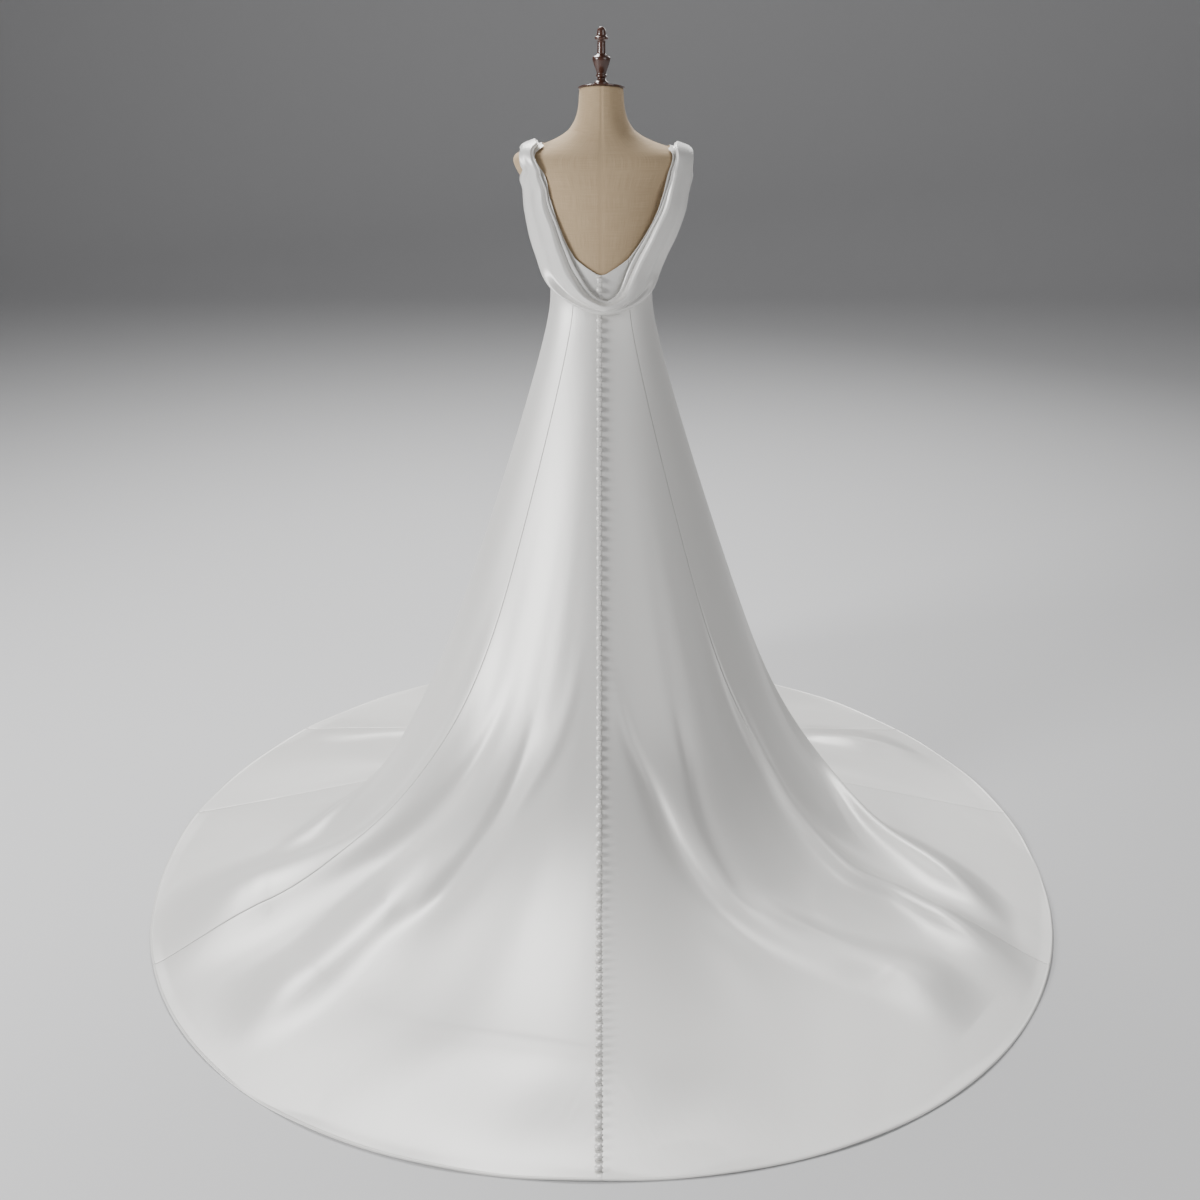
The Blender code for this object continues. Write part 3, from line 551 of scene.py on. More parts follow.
# %% Plain skirt
WALL = 0.002
CLOTH = 0.0016
WAIST_HEIGHT = 1.15
HEM_CENTRE_Y = -0.52
HEM_HALF_WIDTH = 0.96
HEM_HALF_LENGTH = 0.956
TRAIN_SQUARENESS = 2.15
FRONT_SQUARENESS = 2.0
WAIST_SOFTNESS = 0.05
LANDING_POWER = 8.0
SIDE_LAG = 1.10
SEAM_COLUMNS = ("hem_angle", "waist_angle", "slope", "spread", "top_angle")
SEAMS = {
    "centre_back": (0, 0, 0.48, 0.58, 0),
    "princess_back": (65, 34, 0.44, 0.45, 28),
    "side": (99, 88, 0.40, 0.10, 90),
    "princess_front": (126, 128, 0.28, 0.05, 142),
    "centre_front": (180, 180, 0.25, 0.06, 180),
}
TOP_COLUMNS = ("hem_angle", "top")
TOP_EDGE = (
    (0, 1.200),
    (22, 1.203),
    (44, 1.211),
    (55, 1.220),
    (65, 1.236),
    (82, 1.282),
    (99, 1.335),
    (126, 1.388),
    (180, 1.388),
)


def seam_value(name, hem_angle):
    rows = list(SEAMS.values())
    hem_angles = column(rows, SEAM_COLUMNS, "hem_angle")
    return smooth(hem_angles, column(rows, SEAM_COLUMNS, name), np.abs(hem_angle))


def top_value(hem_angle):
    heights = column(TOP_EDGE, TOP_COLUMNS, "top")
    return smooth(column(TOP_EDGE, TOP_COLUMNS, "hem_angle"), heights, np.abs(hem_angle))


def hem_point(hem_angle):
    """Hem in plan: a rounded oval, where the powers of x and y over the half sizes sum to one."""
    turn = np.radians(hem_angle)
    power = np.where(np.cos(turn) > 0, TRAIN_SQUARENESS, FRONT_SQUARENESS)
    across = np.abs(np.sin(turn)) / HEM_HALF_WIDTH
    along = np.abs(np.cos(turn)) / HEM_HALF_LENGTH
    reach = (across ** power + along ** power) ** (-1 / power)
    return np.stack([reach * np.sin(turn), HEM_CENTRE_Y - reach * np.cos(turn)], axis=-1)


def waist_and_hem(hem_angle, line):
    """Point of the waist above each place, and its way to the hem in plan."""
    sign = np.where(hem_angle < 0, -1.0, 1.0)
    waist = bodice_point(sign * seam_value("waist_angle", hem_angle), np.full_like(line, WAIST_HEIGHT))
    return waist, hem_point(hem_angle) - waist[..., :2]


def run_share(hem_angle, line, way):
    """How much of its way to the hem a line has run.

    The run is a flare that starts softly at the waist and grows with the fall, plus a quick spread as
    the line lands.
    """
    reach = np.linalg.norm(way, axis=-1)
    fallen = WAIST_HEIGHT * (1 - (1 - np.clip(line, 0, 1)) ** 2)
    slope = seam_value("slope", hem_angle)
    spread = seam_value("spread", hem_angle)
    flare = np.sqrt(fallen ** 2 + WAIST_SOFTNESS ** 2) - WAIST_SOFTNESS
    full_flare = math.hypot(WAIST_HEIGHT, WAIST_SOFTNESS) - WAIST_SOFTNESS
    landing = 1 - np.sqrt(np.clip(1 - (fallen / WAIST_HEIGHT) ** LANDING_POWER, 0, 1))
    landed = slope * full_flare + spread
    run = slope * flare + spread * landing + (reach - landed) * np.clip(line - 1, 0, 1)
    return run / reach


def plain_skirt(hem_angle, line):
    """Inner face of the skirt: its height is a square law of the line, and its run as above."""
    hem_angle, line = np.broadcast_arrays(np.asarray(hem_angle, dtype=float), np.asarray(line, dtype=float))
    hem_angle = (hem_angle + 180) % 360 - 180
    waist, way = waist_and_hem(hem_angle, line)
    done = run_share(hem_angle, line, way)
    share = np.clip(line, 0, 1)
    x = waist[..., 0] + way[..., 0] * done ** SIDE_LAG
    y = waist[..., 1] + way[..., 1] * done
    z = waist[..., 2] * (1 - share) ** 2
    return np.stack([x, y, z], axis=-1)


# %% [markdown]
# ## Folds and creases
#
# The largest folds are soft ridges that run down the skirt and die out on the floor. They are placed one
# by one: a row gives the places that the crest passes, as pairs of line and hem angle, then how wide and
# how high it is. The creases that lie on them have two different widths, because a crease in satin is
# steep on one side and soft on the other, and a negative height makes a trough.

# %% Tables of folds and creases
FOLDS = (
    (((0.35, -66), (0.80, -66), (1.00, -70), (1.50, -70), (2.15, -69)), 12, 0.026),
    (((0.45, -44), (0.68, -47), (0.86, -50), (1.10, -48), (1.85, -49)), 8, 0.018),
    (((0.40, -8), (1.15, -8), (1.90, -10)), 32, 0.030),
    (((0.45, 20), (0.62, 27), (0.80, 33), (0.94, 43), (1.15, 49), (1.80, 50)), 8, 0.016),
    (((0.45, 66), (0.70, 62), (0.85, 60), (1.00, 63), (1.50, 62), (2.05, 61)), 7, 0.014),
    (((0.50, 95), (0.73, 92), (0.87, 81), (1.00, 76), (1.33, 73), (1.75, 69)), 8, 0.022),
    (((1.15, 122), (1.90, 117)), 9, 0.012),
    (((0.20, -150), (1.60, -148)), 14, 0.012),
    (((0.20, 156), (1.60, 152)), 14, 0.012),
    (((0.25, -176), (1.50, -175)), 10, 0.008),
)
CREASES = (
    # places of the crest, width towards the left, width towards the right, height
    (((0.30, -66), (0.62, -66), (0.79, -65), (0.93, -69), (1.37, -70), (2.10, -69)), 5.0, 7.5, 0.0210),
    (((0.40, -45), (0.59, -52), (0.76, -58), (0.84, -60), (1.08, -61)), 3.0, 5.0, -0.0120),
    (((0.45, -30), (0.69, -36), (0.79, -39), (0.93, -41), (1.20, -41)), 2.6, 5.0, -0.0170),
    (((0.75, -47), (0.95, -46), (1.20, -46), (1.62, -46), (1.92, -48)), 3.0, 2.6, 0.0070),
    (((0.35, -10), (0.51, -18), (0.62, -28), (0.74, -38), (0.84, -44)), 5.0, 3.0, 0.0050),
    (((0.35, 2), (0.48, 10), (0.58, 18), (0.69, 23), (0.78, 27), (0.88, 32), (0.96, 38), (1.12, 42)), 5.0, 2.8, -0.0150),
    (((0.80, 36), (0.94, 45), (1.20, 48), (1.50, 48), (1.80, 49)), 2.2, 9.0, 0.0060),
    (((0.45, 36), (0.57, 35), (0.67, 33), (0.78, 34), (0.86, 36)), 2.2, 3.0, -0.0060),
    (((0.30, 66), (0.61, 65), (0.71, 62), (0.85, 60), (0.95, 63), (1.52, 62), (1.98, 61)), 1.6, 4.0, 0.0180),
    (((0.50, 72), (0.80, 69), (0.95, 68), (1.20, 67), (1.60, 66)), 2.6, 2.4, -0.0110),
    (((0.40, 96), (0.73, 92), (0.87, 80), (1.00, 75), (1.33, 72), (1.70, 69)), 1.5, 3.2, 0.0170),
    (((0.40, -99), (0.70, -96), (0.91, -91), (0.98, -84), (1.24, -79)), 2.6, 3.2, 0.0080),
    (((1.00, -124), (1.32, -124), (1.59, -123), (1.95, -126)), 5.0, 2.0, 0.0040),
    (((1.10, 121), (1.35, 120), (1.62, 119), (1.90, 117)), 2.0, 4.0, 0.0060),
    (((0.25, -138), (0.80, -140), (1.40, -139)), 5.0, 3.0, -0.0060),
    (((0.25, 140), (0.80, 143), (1.50, 141)), 3.5, 5.0, -0.0060),
    (((0.20, 171), (0.80, 168), (1.40, 169)), 4.0, 2.6, 0.0060),
    (((0.30, -166), (0.85, -165), (1.55, -163)), 2.6, 4.0, -0.0050),
)
RIPPLES = (
    # height in metres, turns round the dress, turns down a line, phase
    (0.0007, 9.0, 0.3, 0.4),
    (0.0005, 15.0, -0.5, 2.1),
    (0.0004, 26.0, 0.9, 4.0),
)
TROUGH_ROOM = 0.05
HEM_BEAD = 0.0012
HEM_WAVES = (
    # height in metres, waves round the hem, phase
    (0.0014, 11.0, 0.6),
    (0.0010, 23.0, 2.2),
)
HEM_REACH = 0.10


def crest_and_share(places, hem_angle, run):
    """Degrees from a crest, and the share of its own run at each place.

    Its angle is a smooth curve through its places over their run, so it keeps its way where it lands.
    """
    lines, angles = np.array(places, dtype=float).T
    places_run = run_share(angles, lines, waist_and_hem(angles, lines)[1])
    along = np.clip((run - places_run[0]) / (places_run[-1] - places_run[0]), 0, 1)
    return (hem_angle - smooth(places_run, angles, run) + 180) % 360 - 180, along


def fold_height(hem_angle, line, run):
    """Sum of the folds: a squared cosine across each, and a soft step up and down again along it."""
    total = np.zeros(np.broadcast(hem_angle, line).shape)
    for places, half_width, height in FOLDS:
        away, _ = crest_and_share(places, hem_angle, run)
        across = np.clip(away / half_width, -1, 1)
        along = np.clip((line - places[0][0]) / (places[-1][0] - places[0][0]), 0, 1)
        length_share = ramp(along, 0, 0.45) * (1 - ramp(along, 0.5, 1))
        total = total + height * np.cos(across * np.pi / 2) ** 2 * length_share
    return total


def crease_height(hem_angle, line, run, room):
    """Sum of the creases: a bell curve with its own width on each side of the crest.

    Troughs fade out as the room under the cloth does, so that none is cut off by the floor.
    """
    total = np.zeros(np.broadcast(hem_angle, line).shape)
    for places, left_width, right_width, height in CREASES:
        away, along = crest_and_share(places, hem_angle, run)
        width = np.where(away < 0, left_width, right_width)
        length_share = ramp(along, 0, 0.3) * (1 - ramp(along, 0.72, 1))
        if height < 0:
            length_share = length_share * ramp(room, 0, TROUGH_ROOM)
        total = total + height * np.exp(-(away / width) ** 2) * length_share
    return total


def ripple_height(hem_angle, line):
    """Shallow unevenness: slow waves in both directions, none at the waist, and small ones at the hem."""
    turn = np.radians(hem_angle)
    total = np.zeros(np.broadcast(hem_angle, line).shape)
    for height, around, down, phase in RIPPLES:
        total = total + height * np.sin(around * turn + 2 * np.pi * down * line + phase)
    total = total * ramp(line, 0.15, 0.6)
    near_hem = ramp(line, 2 - HEM_REACH, 2)
    for height, around, phase in HEM_WAVES:
        total = total + height * (1 + np.sin(around * turn + phase)) / 2 * near_hem
    return total


def hem_bead(line):
    """A rolled hem: a bell-shaped rise a few millimetres in from the edge."""
    return HEM_BEAD * np.exp(-((2 - line - 0.010) / 0.006) ** 2)


def skirt_normal(surface, hem_angle, line):
    """Unit normals of the skirt, out of it where it falls and up where it lies."""
    step = 1e-3
    return -surface_normals(surface, hem_angle, np.clip(line, step, 2 - step), step)


def folded_skirt(hem_angle, line):
    """Outer face of the skirt with its folds and creases, one wall above the floor where it lies."""
    hem_angle, line = np.broadcast_arrays(hem_angle, line)
    point = plain_skirt(hem_angle, line)
    outward = skirt_normal(plain_skirt, hem_angle, line)
    run = run_share(hem_angle, line, waist_and_hem(hem_angle, line)[1])
    height = fold_height(hem_angle, line, run)
    height = height + crease_height(hem_angle, line, run, point[..., 2] + height * outward[..., 2])
    height = height + ripple_height(hem_angle, line) + hem_bead(line)
    point = point + outward * (WALL + height[..., None])
    point[..., 2] = np.maximum(point[..., 2], WALL)
    return point


# %% [markdown]
# ## Bodice rows and straps
#
# Above the waist every panel goes on up the form. The side panels narrow into the shoulder straps,
# between the neck edge and the armhole. Each of the two edges is a path of angles and heights, walked
# in even steps, and the strap is what lies between the two paths.

# %% Bodice and strap grids
NECK_EDGES = {
    "back": ((0.075, 1.260), (0.096, 1.299), (0.112, 1.337), (0.123, 1.373), (0.1325, 1.412)),
    "front": ((0.109, 1.403), (0.119, 1.418), (0.128, 1.431), (0.133, 1.442)),
}
ARM_EDGES = {
    "back": ((0.160, 1.362), (0.156, 1.390), (0.156, 1.412), (0.158, 1.430)),
    "front": ((0.160, 1.362), (0.157, 1.390), (0.157, 1.414), (0.159, 1.432)),
}
NECK_EDGE_TOP = 0.139
ARM_EDGE_TOP = 0.166
# Over the shoulder: angle, and how much nearer to the centre line the edge lies than at its top
NECK_OVER_SHOULDER = ((58, 0.0040), (70, 0.0020), (80, 0.0006), (90, 0.0))
ARM_OVER_SHOULDER = ((73, 0.0), (80, 0.0), (85, 0.0), (90, 0.0))
FALL_ROWS = 190
FLOOR_ROWS = 75
HEM_ROWS = 10
BODICE_ROWS = 44
STRAP_ROWS = 60


def skirt_lines():
    """Lines from the hem up to the waist, closer together where the skirt lands."""
    fall = np.linspace(1, 0, FALL_ROWS + 1)
    floor = 2 - np.linspace(0.03, 1, FLOOR_ROWS + 1)[:-1]
    hem = 2 - np.linspace(0, 0.03, HEM_ROWS + 1)[:-1]
    return np.concatenate([hem, floor, fall])


def bodice_rows(hem_angles):
    """Angles and heights of the panel from just above the waist to its top."""
    share = np.arange(1, BODICE_ROWS + 1)[:, None] / BODICE_ROWS
    sign = np.where(hem_angles < 0, -1.0, 1.0)
    low = seam_value("waist_angle", hem_angles)
    angle = sign * (low + (seam_value("top_angle", hem_angles) - low) * share)
    height = WAIST_HEIGHT + (top_value(hem_angles) - WAIST_HEIGHT) * share
    return angle, height


def shoulder_edge(side, start, points, top_distance, over_angles, front):
    """Edge of a side panel from the top of its seam over to the shoulder, in even steps."""
    path = [start]
    for distance, height in points:
        path.append((angle_at(side, distance, height, front), height))
    for angle, nearer in over_angles:
        path.append((180 - angle if front else angle, height_at(side, top_distance - nearer, angle)))
    path = np.array(path, dtype=float)
    place = bodice_point(side * path[:, 0], path[:, 1])
    run = np.concatenate([[0], np.cumsum(np.linalg.norm(np.diff(place, axis=0), axis=1))])
    at = np.linspace(0, run[-1], STRAP_ROWS + 1)[1:]
    return smooth(run, path[:, 0], at), smooth(run, path[:, 1], at)


def strap_rows(side, hem_angles, front, top_angle, top_height):
    """Angles and heights between the two edges, leaving the bodice's curved top row gently."""
    end = "front" if front else "back"
    neck_seam = SEAMS[f"princess_{end}"]
    neck_start = (neck_seam[-1], float(top_value(neck_seam[0])))
    arm_start = (SEAMS["side"][-1], float(top_value(SEAMS["side"][0])))
    neck = shoulder_edge(side, neck_start, NECK_EDGES[end], NECK_EDGE_TOP, NECK_OVER_SHOULDER, front)
    arm = shoulder_edge(side, arm_start, ARM_EDGES[end], ARM_EDGE_TOP, ARM_OVER_SHOULDER, front)
    share = np.linspace(0, 1, len(hem_angles))
    if front:
        share = 1 - share
    settle = (1 - np.arange(1, STRAP_ROWS + 1)[:, None] / STRAP_ROWS) ** 3
    rows = []
    for k, top in ((0, np.abs(top_angle)), (1, top_height)):
        chord = top[0] + (top[-1] - top[0]) * np.linspace(0, 1, len(top))
        straight = neck[k][:, None] + (arm[k] - neck[k])[:, None] * share
        rows.append(straight + (top - chord) * settle)
    return side * rows[0], rows[1]


def bodice_outer(angle, height):
    """Outer face of the bodice, one wall out from its inner face."""
    return bodice_point(angle, height) + bodice_normal(angle, height) * WALL


# %% [markdown]
# ## Seams and edges
#
# A sewn seam in satin shows as a fine valley, because both edges turn in and are pressed apart. Close to
# its edge every panel gets four more columns of points, a fraction of a millimetre to four millimetres
# in, and the outermost ones sink. The hem is rolled: it rises a little just inside the edge and then
# turns down.

# %% Panels
SEAM_GAP = 0.0003
SEAM_STEPS = (0.00015, 0.0007, 0.0016, 0.0035)
SEAM_SINK = (0.0011, 0.0005, 0.0001, 0.0)
SEAM_SHARES = (0.06, 0.22, 0.45, 0.75)
# The opening's edges lie flat under the button stand
OPENING_SINK = 0.25
PANELS = (
    # name, inner seam, outer seam, columns
    ("back", "centre_back", "princess_back", 84),
    ("side_back", "princess_back", "side", 54),
    ("side_front", "side", "princess_front", 40),
)
FRONT_COLUMNS = 85


def edge_columns(grid, normals, first, deep=1.0):
    """Four sunk columns beside a seam edge, each a fixed distance from it or a share of the first step."""
    edge = grid[:, 0] if first else grid[:, -1]
    inside = grid[:, 1] if first else grid[:, -2]
    outward = normals[:, 0] if first else normals[:, -1]
    gap = np.linalg.norm(inside - edge, axis=1)
    way = (inside - edge) / np.maximum(gap, 1e-9)[:, None]
    made = []
    for step, sink, share in zip(SEAM_STEPS, SEAM_SINK, SEAM_SHARES):
        distance = np.minimum(step, share * gap)
        made.append(edge + way * distance[:, None] - outward * (deep * sink * ramp(gap, 0, 0.002))[:, None])
    made = np.stack(made, axis=1)
    if first:
        return np.concatenate([made, grid[:, 1:]], axis=1)
    return np.concatenate([grid[:, :-1], made[:, ::-1]], axis=1)


def panel_grid(side, name, angles):
    """Outer face of one panel, its rows from the hem up to the top or the shoulder."""
    angle, line = np.meshgrid(angles, skirt_lines())
    skirt = folded_skirt(angle, line)
    waist_angle = np.where(angles < 0, -1.0, 1.0) * seam_value("waist_angle", angles)
    skirt[-1] = bodice_outer(waist_angle, np.full_like(angles, WAIST_HEIGHT))
    top_angle, top_height = bodice_rows(angles)
    parts = [skirt, bodice_outer(top_angle, top_height)]
    if name.startswith("side"):
        strap = strap_rows(side, angles, name == "side_front", top_angle[-1], top_height[-1])
        parts.append(bodice_outer(*strap))
    return np.concatenate(parts)


def outward_normals(grid):
    """Grid normals turned away from the pole where the cloth falls, and up where it lies."""
    normals = grid_normals(grid)
    guide = grid * np.array([1, 1, 0])
    guide[..., 2] = 0.4
    return turned_out(normals, guide)


def cloth_object(name, grid, thickness=CLOTH):
    """Cloth from its outer face: faces turned out, and a wall laid on its inner side."""
    normals = grid_normals(grid)
    middle = (grid.shape[0] // 2, grid.shape[1] // 2)
    if np.sum(normals[middle] * outward_normals(grid)[middle]) < 0:
        grid = grid[:, ::-1]
    uv = grid_map(grid)
    piece = mesh_object(name, grid, grid_faces(*grid.shape[:2]), uv, satin)
    wall = piece.modifiers.new("wall", "SOLIDIFY")
    wall.thickness = thickness
    wall.offset = -1
    return piece


panel_grids = {}


def make_panel(name, kind, grid):
    deep = OPENING_SINK if kind.startswith("back") else 1.0
    grid = edge_columns(grid, outward_normals(grid), True, deep)
    grid = edge_columns(grid, outward_normals(grid), False)
    grid[..., 2] = np.maximum(grid[..., 2], CLOTH + 0.0002)
    piece = cloth_object(name, grid)
    finish_piece(piece, "satin", kind)
    print(kind, "area", round(grid_area(grid), 3), "rows and columns", grid.shape[:2])


def make_panels():
    for side, hand in ((-1, "left"), (1, "right")):
        for name, inner_seam, outer_seam, columns in PANELS:
            angles = side * np.linspace(SEAMS[inner_seam][0], SEAMS[outer_seam][0], columns + 1)
            grid = panel_grid(side, name, angles)
            panel_grids[f"{name}_{hand}"] = grid
            make_panel(f"panel_{name}_{hand}", f"{name}_{hand}", grid)
    edge = SEAMS["princess_front"][0]
    angles = (np.linspace(edge, 360 - edge, FRONT_COLUMNS + 1) + 180) % 360 - 180
    make_panel("panel_front", "front", panel_grid(1, "front", angles))


make_panels()

# %% [markdown]
# ## Cowl
#
# The cowl is a strip cut on the bias that hangs in a U from shoulder to shoulder. Three lines run along
# it: the inner edge beside the opening, the ridge and the lower edge. Its section between them is a
# small table, and soft folds run along the band, each for a part of its length.

# %% Cowl
COWL_COLUMNS = ("inner", "inner_height", "ridge", "ridge_height", "lower", "lower_height",
                "inner_stand", "ridge_stand", "lower_stand")
COWL = (
    (0.1390, 1.424, 0.1460, 1.422, 0.179, 1.416, 0.0046, 0.010, 0.0045),
    (0.1355, 1.408, 0.1425, 1.404, 0.181, 1.398, 0.0036, 0.010, 0.0045),
    (0.123, 1.364, 0.131, 1.354, 0.174, 1.338, 0.0014, 0.012, 0.0050),
    (0.101, 1.308, 0.109, 1.298, 0.158, 1.278, 0.0012, 0.014, 0.0030),
    (0.078, 1.262, 0.088, 1.248, 0.134, 1.222, 0.0030, 0.018, 0.0010),
    (0.055, 1.217, 0.064, 1.197, 0.110, 1.177, 0.0060, 0.023, 0.0060),
    (0.031, 1.168, 0.038, 1.153, 0.072, 1.137, 0.0090, 0.028, 0.0120),
    (0.013, 1.149, 0.017, 1.135, 0.034, 1.118, 0.0110, 0.031, 0.0130),
    (0.000, 1.144, 0.000, 1.129, 0.000, 1.112, 0.0110, 0.032, 0.0130),
)
COWL_INNER_TOP = 0.1465
COWL_RIDGE_TOP = 0.1520
COWL_LOWER_TOP = 0.1790
COWL_LOWER_DOWN = 1.427
# On the right the band is wider towards the shoulder than on the left
COWL_WIDER = 0.0020
COWL_WIDER_FROM = 1.36
COWL_WIDER_FULL = 1.42
COWL_SHIFT = 0.010
COWL_SHIFT_FROM = 0.7
COWL_START_ANGLE = 88.5
COWL_STATIONS = 150
COWL_SECTION_COLUMNS = ("across", "rise")
COWL_SECTION = (
    (-1.00, 0.00),
    (-0.88, 0.14),
    (-0.66, 0.20),
    (-0.52, 0.34),
    (-0.38, 0.66),
    (-0.20, 0.90),
    (0.00, 1.00),
    (0.20, 0.94),
    (0.42, 0.80),
    (0.62, 0.76),
    (0.80, 0.62),
    (0.92, 0.34),
    (1.00, 0.00),
)
COWL_SECTION_POINTS = 92
# Heights are shares of how far the ridge stands off the bodice
COWL_FOLD_COLUMNS = ("side", "start", "end", "at_start", "at_end", "width", "height")
COWL_FOLDS = (
    (-1, 0.10, 1.00, 0.42, 0.50, 0.16, -0.56),
    (-1, 0.20, 1.00, 0.74, 0.78, 0.11, 0.20),
    (-1, 0.15, 0.95, -0.62, -0.50, 0.09, -0.30),
    (1, 0.20, 1.00, 0.34, 0.54, 0.14, -0.42),
    (1, 0.30, 1.00, 0.66, 0.36, 0.09, 0.16),
    (1, 0.25, 0.95, -0.60, -0.46, 0.09, -0.30),
    (1, 0.05, 0.60, 0.78, 0.70, 0.11, -0.22),
)


def cowl_path(side):
    """Angles, heights and stand-offs of the cowl's three lines, from the shoulder to the centre back."""
    stations = [dict(zip(COWL_COLUMNS, row)) for row in COWL]
    tops = {"inner": COWL_INNER_TOP, "ridge": COWL_RIDGE_TOP, "lower": COWL_LOWER_TOP + side * COWL_WIDER}
    path = []
    for name, top in tops.items():
        stand = stations[0][f"{name}_stand"]
        line = [(side * COWL_START_ANGLE, height_at(side, top, COWL_START_ANGLE), stand)]
        downwards = np.linspace(line[0][1], COWL_LOWER_DOWN, len(NECK_OVER_SHOULDER))
        for (angle, nearer), height in zip(NECK_OVER_SHOULDER[-2::-1], downwards[1:]):
            if name == "lower":
                line.append((side * angle_at(side, top, height), height, stand))
            else:
                line.append((side * angle, height_at(side, top - nearer, angle), stand))
        for at in stations:
            height = at[f"{name}_height"]
            distance = at[name]
            if name == "lower":
                distance += side * COWL_WIDER * ramp(height, COWL_WIDER_FROM, COWL_WIDER_FULL)
            line.append((side * angle_at(side, distance, height), height, at[f"{name}_stand"]))
        path.append(line)
    return np.array(path, dtype=float)


def cowl_relief(side, across, along):
    """Soft folds along the band: each a bell curve across it, and a sine over its part of the length."""
    total = np.zeros(np.broadcast(across, along).shape)
    for row in COWL_FOLDS:
        fold = dict(zip(COWL_FOLD_COLUMNS, row))
        share = np.clip((along - fold["start"]) / (fold["end"] - fold["start"]), 0, 1)
        at = fold["at_start"] + (fold["at_end"] - fold["at_start"]) * share
        bell = np.exp(-((across - at) / fold["width"]) ** 2)
        here = side == fold["side"]
        total = total + here * fold["height"] * bell * np.sin(share * np.pi) ** 0.7
    return total


def cowl_grid():
    """Outer face of the cowl: the section's rise between the three lines, out from the bodice."""
    path = np.concatenate([cowl_path(-1), cowl_path(1)[:, -2::-1]], axis=1)
    place = bodice_point(path[1, :, 0], path[1, :, 1])
    run = np.concatenate([[0], np.cumsum(np.linalg.norm(np.diff(place, axis=0), axis=1))])
    at = np.linspace(0, run[-1], 2 * COWL_STATIONS + 1)
    inner, ridge, lower = [np.stack([smooth(run, line[:, k], at) for k in range(3)]) for line in path]
    rows = np.arange(len(COWL_SECTION))
    place_in = np.linspace(0, len(COWL_SECTION) - 1, COWL_SECTION_POINTS)
    across, rise = (smooth(rows, column(COWL_SECTION, COWL_SECTION_COLUMNS, name), place_in)[:, None]
                    for name in COWL_SECTION_COLUMNS)
    edge = np.where((across > 0)[None], lower[:, None], inner[:, None])
    angle, height = [ridge[k] + (edge[k] - ridge[k]) * np.abs(across) for k in (0, 1)]
    from_shoulder = 1 - np.abs(2 * at / run[-1] - 1)
    side = np.where(at < run[-1] / 2, -1, 1)
    off = 2 * WALL + edge[2] + (ridge[2] - edge[2]) * rise + ridge[2] * cowl_relief(side, across, from_shoulder)
    point = bodice_point(angle, height) + bodice_normal(angle, height) * off[..., None]
    point[..., 0] += COWL_SHIFT * ramp(from_shoulder, COWL_SHIFT_FROM, 1)
    return point.transpose(1, 0, 2)


def make_cowl():
    grid = cowl_grid()
    normals = grid_normals(grid)
    middle = (len(grid) // 2, int(COWL_SECTION_POINTS * 0.75))
    if normals[middle][1] > 0:
        grid = grid[:, ::-1]
    piece = mesh_object("cowl_drape", grid, grid_faces(*grid.shape[:2]), grid_map(grid), satin)
    wall = piece.modifiers.new("wall", "SOLIDIFY")
    wall.thickness = 0.0012
    wall.offset = -1
    finish_piece(piece, "satin", "cowl")
    print("cowl area", round(grid_area(grid), 3))


make_cowl()

# %% [markdown]
# ## Buttons, stand and loops
#
# The opening runs down the centre back from the V to the hem. A narrow folded strip lies on its left
# edge and carries the covered buttons, and a cord loop from the right edge goes round the foot of each
# one. All of them are placed along one line of points, with three unit vectors at each place: down the
# line, across it to the left, and out of the cloth. Small seeded changes keep them from looking machined.

# %% Buttons
BUTTON_PITCH = 0.022
BUTTON_RADIUS = 0.0066
BUTTON_FIRST = 0.010
BUTTON_LAST = 0.012
BUTTON_SIDES = 22
BUTTON_SEED = 11
BUTTON_SHIFT = 0.0005
BUTTON_TILT = 0.10
TRAIN_TILT = 0.42
PLACKET_WIDTH = 0.0085
PLACKET_THICKNESS = 0.0004
PLACKET_PUCKER = 0.0002
PLACKET_SECTION = (
    # share of the width, share of the thickness
    (0.00, 0.00),
    (-0.02, 0.70),
    (0.06, 1.00),
    (0.50, 1.12),
    (0.94, 1.00),
    (1.02, 0.70),
    (1.00, 0.00),
)
BUTTON_PROFILE = (
    # share of the radius, height above the cloth
    (0.50, 0.0006),
    (0.50, 0.0025),
    (0.88, 0.0029),
    (0.99, 0.0040),
    (1.00, 0.0056),
    (0.95, 0.0070),
    (0.81, 0.0083),
    (0.58, 0.0092),
    (0.30, 0.0097),
    (0.04, 0.0099),
)
LOOP_RADIUS = 0.0007
LOOP_REACH = 0.0094
LOOP_HALF_WIDTH = 0.0050
LOOP_STEPS = 24
LOOP_SIDES = 8


def opening_line():
    """Distance run, point, and the three unit vectors at each row of the opening's left edge, from the V."""
    grid = panel_grids["back_left"][::-1]
    edge = grid[:, 0]
    run = np.concatenate([[0], np.cumsum(np.linalg.norm(np.diff(edge, axis=0), axis=1))])
    along = unit(np.gradient(edge, axis=0))
    across = unit(grid[:, 1] - edge)
    outward = turned_out(unit(np.cross(across, along)), outward_normals(grid)[:, 0])
    return run, edge, along, across, outward


def read_line(run, values, places):
    """Rows of an array of points or vectors, read between its rows at some places along the line."""
    return np.stack([np.interp(places, run, values[:, k]) for k in range(3)], axis=-1)


def button_places(run):
    """Places of the buttons along the line, with the small seeded changes of each."""
    random = np.random.default_rng(BUTTON_SEED)
    places = np.arange(BUTTON_FIRST, run[-1] - BUTTON_LAST, BUTTON_PITCH)
    changes = random.uniform(-1, 1, (len(places), 4))
    return places + changes[:, 0] * BUTTON_SHIFT, changes


